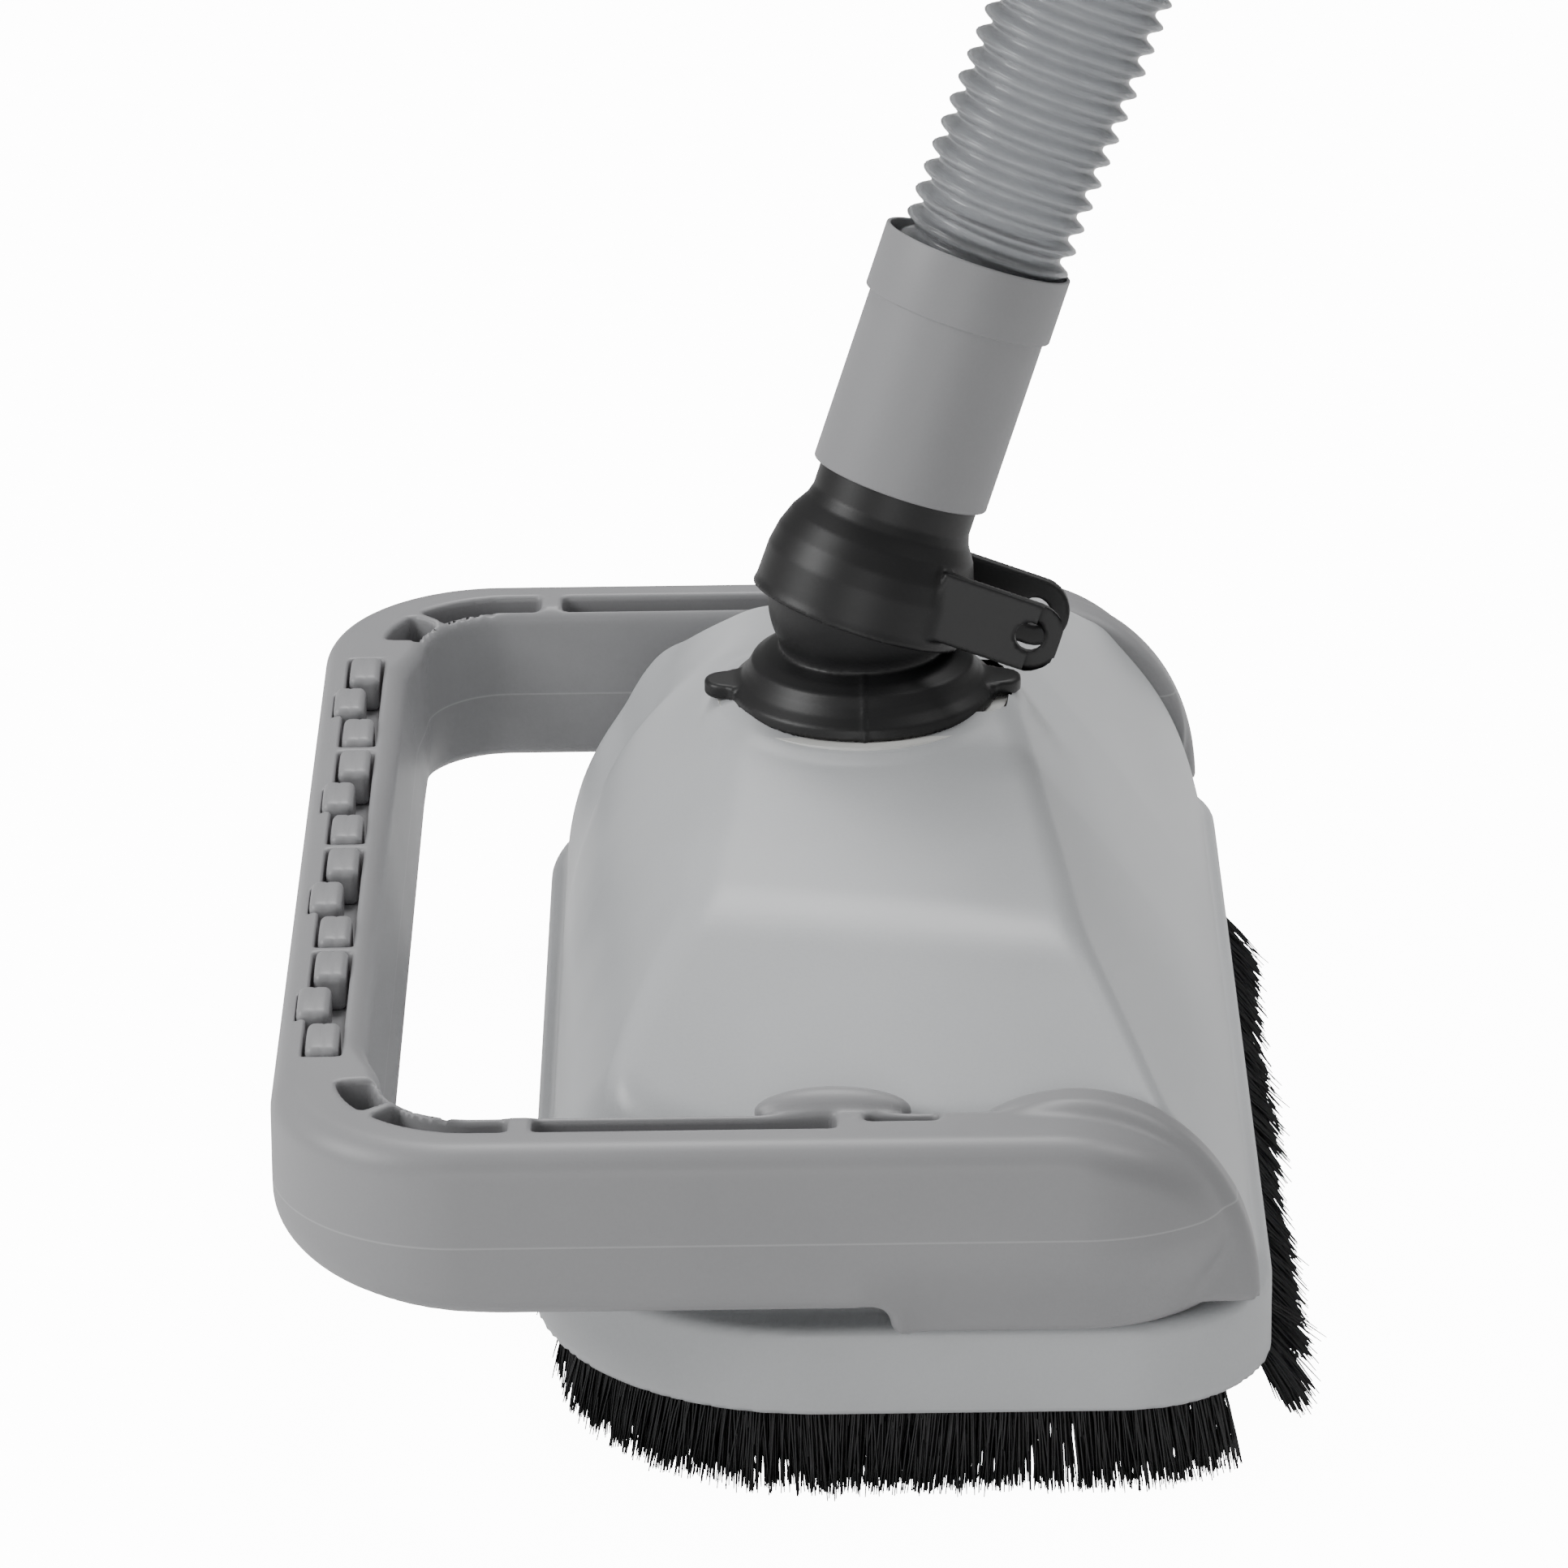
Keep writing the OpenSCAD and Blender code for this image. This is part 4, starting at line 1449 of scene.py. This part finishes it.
@dataclass
class HoseLine:
    """Grey cuff on the neck, the corrugated hose and the cuff at its far end."""

    cuff_r: float = 24.3
    collar_r: float = 25.8
    collar_h: float = 18.0
    cuff_low: float = 32.5
    cuff_high: float = 99.0
    ridge_r: float = 23.2
    root_r: float = 19.9
    ridge_sharp: float = 1.35
    skin: float = 1.1
    pitch: float = 6.4
    start: float = 74.0
    length: float = 280.0
    neck_bore: float = 22.05
    hose_bore: float = 23.6
    mouth_r: float = 24.7
    ledge_r: float = 19.5
    ledge_z: float = 65.5
    far_bore: float = 21.0
    far_ledge_r: float = 19.0
    ease: float = 5.0
    ease_turn_deg: float = -25.3
    sides: int = 56
    rings_per_pitch: int = 12

    def cuff(self) -> None:
        """Makes the cuff that turns on the neck."""
        collar = self.cuff_high - self.collar_h
        profile = filleted(
            [
                (self.neck_bore, self.cuff_low, 0.5),
                (self.cuff_r, self.cuff_low, 0.7),
                (self.cuff_r, collar, 0.3),
                (self.collar_r, collar, 0.6),
                (self.collar_r, self.cuff_high, 0.8),
                (self.mouth_r, self.cuff_high, 0.4),
                (self.mouth_r - 0.1, self.cuff_high - 13, 0.3),
                (self.hose_bore, self.cuff_high - 15, 0.3),
                (self.hose_bore, self.start, 0.3),
                (self.ledge_r, self.start, 0.3),
                (self.ledge_r, self.ledge_z, 0.3),
                (self.neck_bore, self.ledge_z, 0.3),
            ]
        )
        verts, quads = lathe(profile)
        Piece(
            "neck_cuff", CUFF_PE, Slot.CUFF, Body.HOSE_END, ("hose_cuff",), NECK_AXES
        ).build(verts, quads)

    def end_cuff(self) -> bpy.types.Object:
        """Makes the cuff at the far end of the hose.

        Returns:
            The new object.
        """
        z = self.start + self.length
        profile = filleted(
            [
                (self.hose_bore, z - 25, 0.8),
                (self.collar_r, z - 25, 0.8),
                (self.collar_r, z - 7, 0.6),
                (self.cuff_r, z - 7, 0.3),
                (self.cuff_r, z + 45, 0.7),
                (self.far_bore, z + 45, 0.7),
                (self.far_bore, z + 15, 0.3),
                (self.far_ledge_r, z + 15, 0.3),
                (self.far_ledge_r, z, 0.3),
                (self.hose_bore, z, 0.3),
            ]
        )
        verts, quads = lathe(profile)
        turn = math.radians(self.ease_turn_deg)
        verts = verts + self.ease * np.array([math.cos(turn), math.sin(turn), 0.0])
        return Piece(
            "far_cuff",
            CUFF_PE,
            Slot.CUFF,
            Body.HOSE_END,
            ("hose_end_cuff",),
            NECK_AXES,
        ).build(verts, quads)

    def drift(self, height: Array) -> Array:
        """Gives how far the hose has eased off the cuff's axis, by height.

        Args:
            height: heights along the neck, in millimetres.

        Returns:
            Distances off the axis in millimetres.
        """
        mouth = self.cuff_high
        near = 0.3 * self.ease * smooth_step(height, mouth - 15, mouth - 2)
        return near + 0.7 * self.ease * smooth_step(height, mouth - 6, mouth + 100)

    def radius(self, phase: Array) -> Array:
        """Gives the outer radius at a phase of the helix, one turn per ridge."""
        wave = 0.5 + 0.5 * np.cos(2 * math.pi * phase)
        return self.root_r + (self.ridge_r - self.root_r) * wave**self.ridge_sharp

    def hose(self, end: bpy.types.Object) -> None:
        """Args:
            end: the far cuff; not used.
        """
        turn = math.radians(self.ease_turn_deg)
        cos_e, sin_e = math.cos(turn), math.sin(turn)
        turns = self.length / self.pitch
        rings = int(turns * self.rings_per_pitch)
        z = np.linspace(0, self.length, rings + 1)
        angle = np.arange(self.sides) * 2 * math.pi / self.sides
        phase = z[:, None] / self.pitch + angle[None, :] / (2 * math.pi)
        skins = []
        for inset in (0.0, self.skin):
            r = self.radius(phase) - inset
            height = np.broadcast_to(z[:, None] + self.start, r.shape)
            off = self.drift(height)
            skins.append(
                np.stack(
                    [r * np.cos(angle) + off * cos_e, r * np.sin(angle) + off * sin_e, height],
                    axis=2,
                )
            )
        verts = np.concatenate([s.reshape(-1, 3) for s in skins])
        n, m, base = self.sides, rings + 1, (rings + 1) * self.sides
        i, j = np.meshgrid(np.arange(m - 1), np.arange(n), indexing="ij")
        j1 = (j + 1) % n
        outer = np.stack([i * n + j, i * n + j1, (i + 1) * n + j1, (i + 1) * n + j], 2)
        inner = outer[:, :, ::-1] + base
        k = np.arange(n)
        k1, last = (k + 1) % n, (m - 1) * n
        low = np.stack([k, k + base, k1 + base, k1], 1)
        high = np.stack([last + k, last + k1, last + k1 + base, last + k + base], 1)
        quads = np.concatenate([outer.reshape(-1, 4), inner.reshape(-1, 4), low, high])
        tube = Piece(
            "corrugated_hose",
            HOSE_VINYL,
            Slot.HOSE,
            Body.HOSE_END,
            ("hose",),
            NECK_AXES,
        ).build(verts, quads)
        steps = self.start + self.length * np.linspace(0, 1, 40)
        off = self.drift(steps)
        line = NECK_AXES.to_row(np.stack([off * cos_e, off * sin_e, steps], axis=1))
        NECK_AXES.along(self.cuff_high)

    def build(self) -> None:
        """Makes the cuffs and the hose."""
        self.cuff()
        self.hose(self.end_cuff())


# ---------------------------------------------------------------- brushes


@dataclass
class Brushes:
    """Perimeter brush round front and sides, and the splayed rear row."""

    front_at: tuple[float, float] = (-14.0, 113.0)
    front_r: tuple[float, float] = (61.5, 67.5)
    rear_at: tuple[float, float] = (63.0, 148.0)
    rear_r: float = 32.5
    dots_per_mm: int = 4
    band: float = 5.6
    root_z: float = 24.5
    strand_r: float = 0.42
    per_mm: float = 10.0
    rear_half: float = 146.0
    rear_per_mm: float = 11.0
    splay_deg: float = 30.0

    def perimeter(self) -> tuple[Array, Array]:
        """Gives points along the tuft line and the outward direction at each.

        Returns:
            Points and directions, each as an n by 2 array.
        """
        legs = []
        dots = self.dots_per_mm
        (fx, fy), (bx, by) = self.front_at, self.rear_at
        for side in (-1, 1):
            for cx, cy, rx, ry, a0, a1 in (
                (fx, fy, *self.front_r, 180.0, 90.0),
                (bx, by, self.rear_r, self.rear_r, 90.0, 42.0),
            ):
                count = int(abs(a1 - a0) * math.pi / 180 * ry * dots)
                a = np.radians(np.linspace(a0, a1, count))
                out = np.stack([np.cos(a), side * np.sin(a)], 1)
                reach = out * np.array([rx, ry])
                legs.append((np.array([cx, side * cy]) + reach, out))
            x = np.linspace(fx, bx, int(bx - fx) * dots)
            line = np.stack([x, np.full_like(x, side * (by + self.rear_r))], 1)
            legs.append((line, np.tile([0.0, side], (len(x), 1))))
        y = np.linspace(-fy, fy, int(2 * fy) * dots)
        line = np.stack([np.full_like(y, fx - self.front_r[0]), y], 1)
        legs.append((line, np.tile([-1.0, 0.0], (len(y), 1))))
        return np.concatenate([a for a, _ in legs]), np.concatenate([b for _, b in legs])

    def strands(self, root: Array, tip: Array, bend: Array) -> tuple[Array, Array]:
        """Draws three-sided tapered strands.

        Args:
            root: n by 3 root points.
            tip: n by 3 tip points.
            bend: n by 3 offset of each strand's middle.

        Returns:
            Vertices and quads.
        """
        n, rings = len(root), 4
        t = np.linspace(0, 1, rings)[None, :, None]
        line = root[:, None] * (1 - t) + tip[:, None] * t
        line = line + bend[:, None] * (4 * t * (1 - t))
        a = np.arange(3) * 2 * math.pi / 3
        ring = np.stack([np.cos(a), np.sin(a), np.zeros(3)], 1)
        thick = self.strand_r * np.array([1.0, 0.95, 0.85, 0.45])
        verts = line[:, :, None, :] + ring[None, None] * thick[None, :, None, None]
        start = (np.arange(n) * rings * 3)[:, None, None]
        i, j = np.arange(rings - 1)[None, :, None], np.arange(3)[None, None, :]
        j1 = (j + 1) % 3
        quads = [start + i * 3 + j, start + i * 3 + j1]
        quads += [start + (i + 1) * 3 + j1, start + (i + 1) * 3 + j]
        quads = np.stack([np.broadcast_to(q, (n, rings - 1, 3)) for q in quads], 3)
        return verts.reshape(-1, 3), quads.reshape(-1, 4)

    def perimeter_brush(self, rng: np.random.Generator) -> None:
        """Makes the perimeter brush.

        Args:
            rng: the seeded source of the random draws.
        """
        line, out = self.perimeter()
        count = int(len(line) / self.dots_per_mm * self.per_mm)
        pick = rng.integers(0, len(line), count)
        base, away = line[pick], out[pick]
        along = np.stack([-away[:, 1], away[:, 0]], 1)
        across = rng.uniform(-0.5, 0.5, count)
        tuft = np.round(pick / 26.0)
        lean = 2.0 * np.sin(tuft * 12.9898 + 0.7) + rng.normal(0, 1.3, count)
        flare = 1.5 + 5.0 * (across + 0.3) + rng.normal(0, 0.9, count)
        root = np.zeros((count, 3))
        root[:, :2] = base + away * (across * self.band)[:, None]
        root[:, 2] = self.root_z
        tip = root.copy()
        tip[:, :2] += away * flare[:, None] + along * lean[:, None]
        tip[:, 2] = np.abs(rng.normal(0, 0.9, count)) + 0.05
        stray = rng.random(count) < 0.012
        tip[stray, :2] += away[stray] * rng.uniform(1, 5, stray.sum())[:, None]
        tip[stray, 2] += rng.uniform(0, 4, stray.sum())
        bend = np.zeros((count, 3))
        bend[:, :2] = away * rng.normal(0.3, 0.4, count)[:, None]
        verts, quads = self.strands(root, tip, bend)
        Piece(
            "perimeter_bristles", FILAMENT, Slot.BRISTLE, Body.HEAD, ("side_bristles",)
        ).build(verts, quads)

    def rear_brush(self, rng: np.random.Generator) -> None:
        """Makes the splayed rear row.

        Args:
            rng: the seeded source of the random draws.
        """
        count = int(2 * self.rear_half * self.rear_per_mm)
        y = rng.uniform(-self.rear_half, self.rear_half, count)
        across = rng.uniform(-0.5, 0.5, count)
        splay = math.radians(self.splay_deg)
        clump = np.sin(np.round(y / 7.0) * 12.9898)
        root = np.stack([97.6 + across * 4.2, y, np.full(count, 22.6)], 1)
        reach = 13.2 + 3.2 * across + rng.normal(0, 1.2, count) + 0.8 * clump
        tip = np.stack(
            [
                root[:, 0] + reach,
                y + rng.normal(0, 1.8, count) + 1.2 * clump,
                22.6 - reach / math.tan(splay) + rng.normal(0, 1.0, count),
            ],
            1,
        )
        tip[:, 2] = np.abs(tip[:, 2]) * 0.6 + 0.1
        stray = np.abs(y + 118) < 5.0
        tip[stray, 0] += rng.uniform(0, 5, stray.sum())
        tip[stray, 1] += rng.uniform(-5, 9, stray.sum())
        tip[stray, 2] += rng.uniform(0, 9, stray.sum())
        bend = np.stack([np.full(count, 0.7), np.zeros(count), np.zeros(count)], 1)
        verts, quads = self.strands(root, tip, bend)
        Piece(
            "rear_bristle_row", FILAMENT, Slot.BRISTLE, Body.HEAD, ("rear_bristles",)
        ).build(verts, quads)

    def build(self) -> None:
        """Makes both brushes with a fixed seed."""
        rng = np.random.default_rng(41)
        self.perimeter_brush(rng)
        self.rear_brush(rng)


# ---------------------------------------------------------------- studio


@dataclass
class Studio:
    """White sweep, soft light and the camera."""

    lens_mm: float = 193.7404
    sensor_mm: float = 36.0
    clip_m: float = 50.0
    place_mm: tuple[float, float, float] = (3.2, -2114.2, 995.3)
    elevation_deg: float = 22.5
    yaw_deg: float = -0.144
    roll_deg: float = 0.804
    aim_m: tuple[float, float, float] = (0.02, 0.0, 0.1)
    sky: float = 0.3

    def camera(self) -> None:
        """Places the camera."""
        e, p = math.radians(self.elevation_deg), math.radians(self.yaw_deg)
        view = Vector((math.sin(p) * math.cos(e), math.cos(p) * math.cos(e), -math.sin(e)))
        flat = Vector((math.cos(p), -math.sin(p), 0))
        rise = flat.cross(view)
        turn = math.radians(self.roll_deg)
        right = flat * math.cos(turn) - rise * math.sin(turn)
        up = flat * math.sin(turn) + rise * math.cos(turn)
        data = bpy.data.cameras.new("camera")
        data.sensor_width = self.sensor_mm
        data.lens = self.lens_mm
        data.clip_end = self.clip_m
        made = bpy.data.objects.new("camera", data)
        rows = [
            (right[i], up[i], -view[i], self.place_mm[i] * MM) for i in range(3)
        ] + [(0, 0, 0, 1)]
        made.matrix_world = Matrix(rows)
        bpy.context.scene.collection.objects.link(made)
        bpy.context.scene.camera = made

    def lamp(
        self, name: str, place: Sequence[float], size: float, watts: float
    ) -> None:
        """Hangs a square soft lamp that points at the head.

        Args:
            name: the lamp's name.
            place: position in metres.
            size: edge length in metres.
            watts: power.
        """
        data = bpy.data.lights.new(name, "AREA")
        data.size = size
        data.energy = watts
        made = bpy.data.objects.new(name, data)
        made.location = place
        aim = Vector(self.aim_m) - Vector(place)
        made.rotation_euler = aim.to_track_quat("-Z", "Y").to_euler()
        bpy.context.scene.collection.objects.link(made)

    def build(self) -> None:
        """Makes the floor, the lamps and the world light."""
        n, size = 9, 16.0
        edge = np.linspace(-size / 2, size / 2, n)
        gx, gy = np.meshgrid(edge, edge, indexing="ij")
        mesh = bpy.data.meshes.new("sweep")
        quads = [
            (i * n + j, (i + 1) * n + j, (i + 1) * n + j + 1, i * n + j + 1)
            for i in range(n - 1)
            for j in range(n - 1)
        ]
        verts = [(x, y, -0.0002) for x, y in zip(gx.ravel(), gy.ravel())]
        mesh.from_pydata(verts, [], quads)
        mesh.materials.append(material_of(PAPER))
        floor = bpy.data.objects.new("sweep", mesh)
        bpy.context.scene.collection.objects.link(floor)
        self.lamp("key", (-1.75, -0.55, 1.25), 1.0, 30.0)
        self.lamp("top", (0.1, 1.25, 2.6), 1.1, 46.0)
        self.lamp("side", (1.5, 0.5, 2.2), 1.0, 14.0)
        self.lamp("front", (-0.3, -2.8, 0.35), 1.4, 17.0)
        world = bpy.data.worlds.new("studio")
        world.use_nodes = True
        sky = world.node_tree.nodes["Background"]
        sky.inputs[0].default_value = (1.0, 1.0, 1.0, 1.0)
        sky.inputs[1].default_value = self.sky
        bpy.context.scene.world = world


def dress_carried_over() -> None:
    """Gives every CAD node that stays its finish."""
    for finish, names in CARRIED_OVER.items():
        for name in names:
            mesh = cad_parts[name].data
            for i in range(max(len(mesh.materials), 1)):
                if len(mesh.materials):
                    mesh.materials[i] = material_of(finish)
                else:
                    mesh.materials.append(material_of(finish))
            LOG.info("%s: %s", name, finish.name)


def main() -> None:
    """Builds the model in order."""
    logging.basicConfig(level=logging.INFO, format="%(name)s %(message)s")
    studio = Studio()
    studio.camera()
    HoseLine().build()
    Housing().build()
    Bumper().build()
    SwivelBase().build()
    BallCup().build()
    Brushes().build()
    dress_carried_over()
    studio.build()


if __name__ == "__main__":
    main()
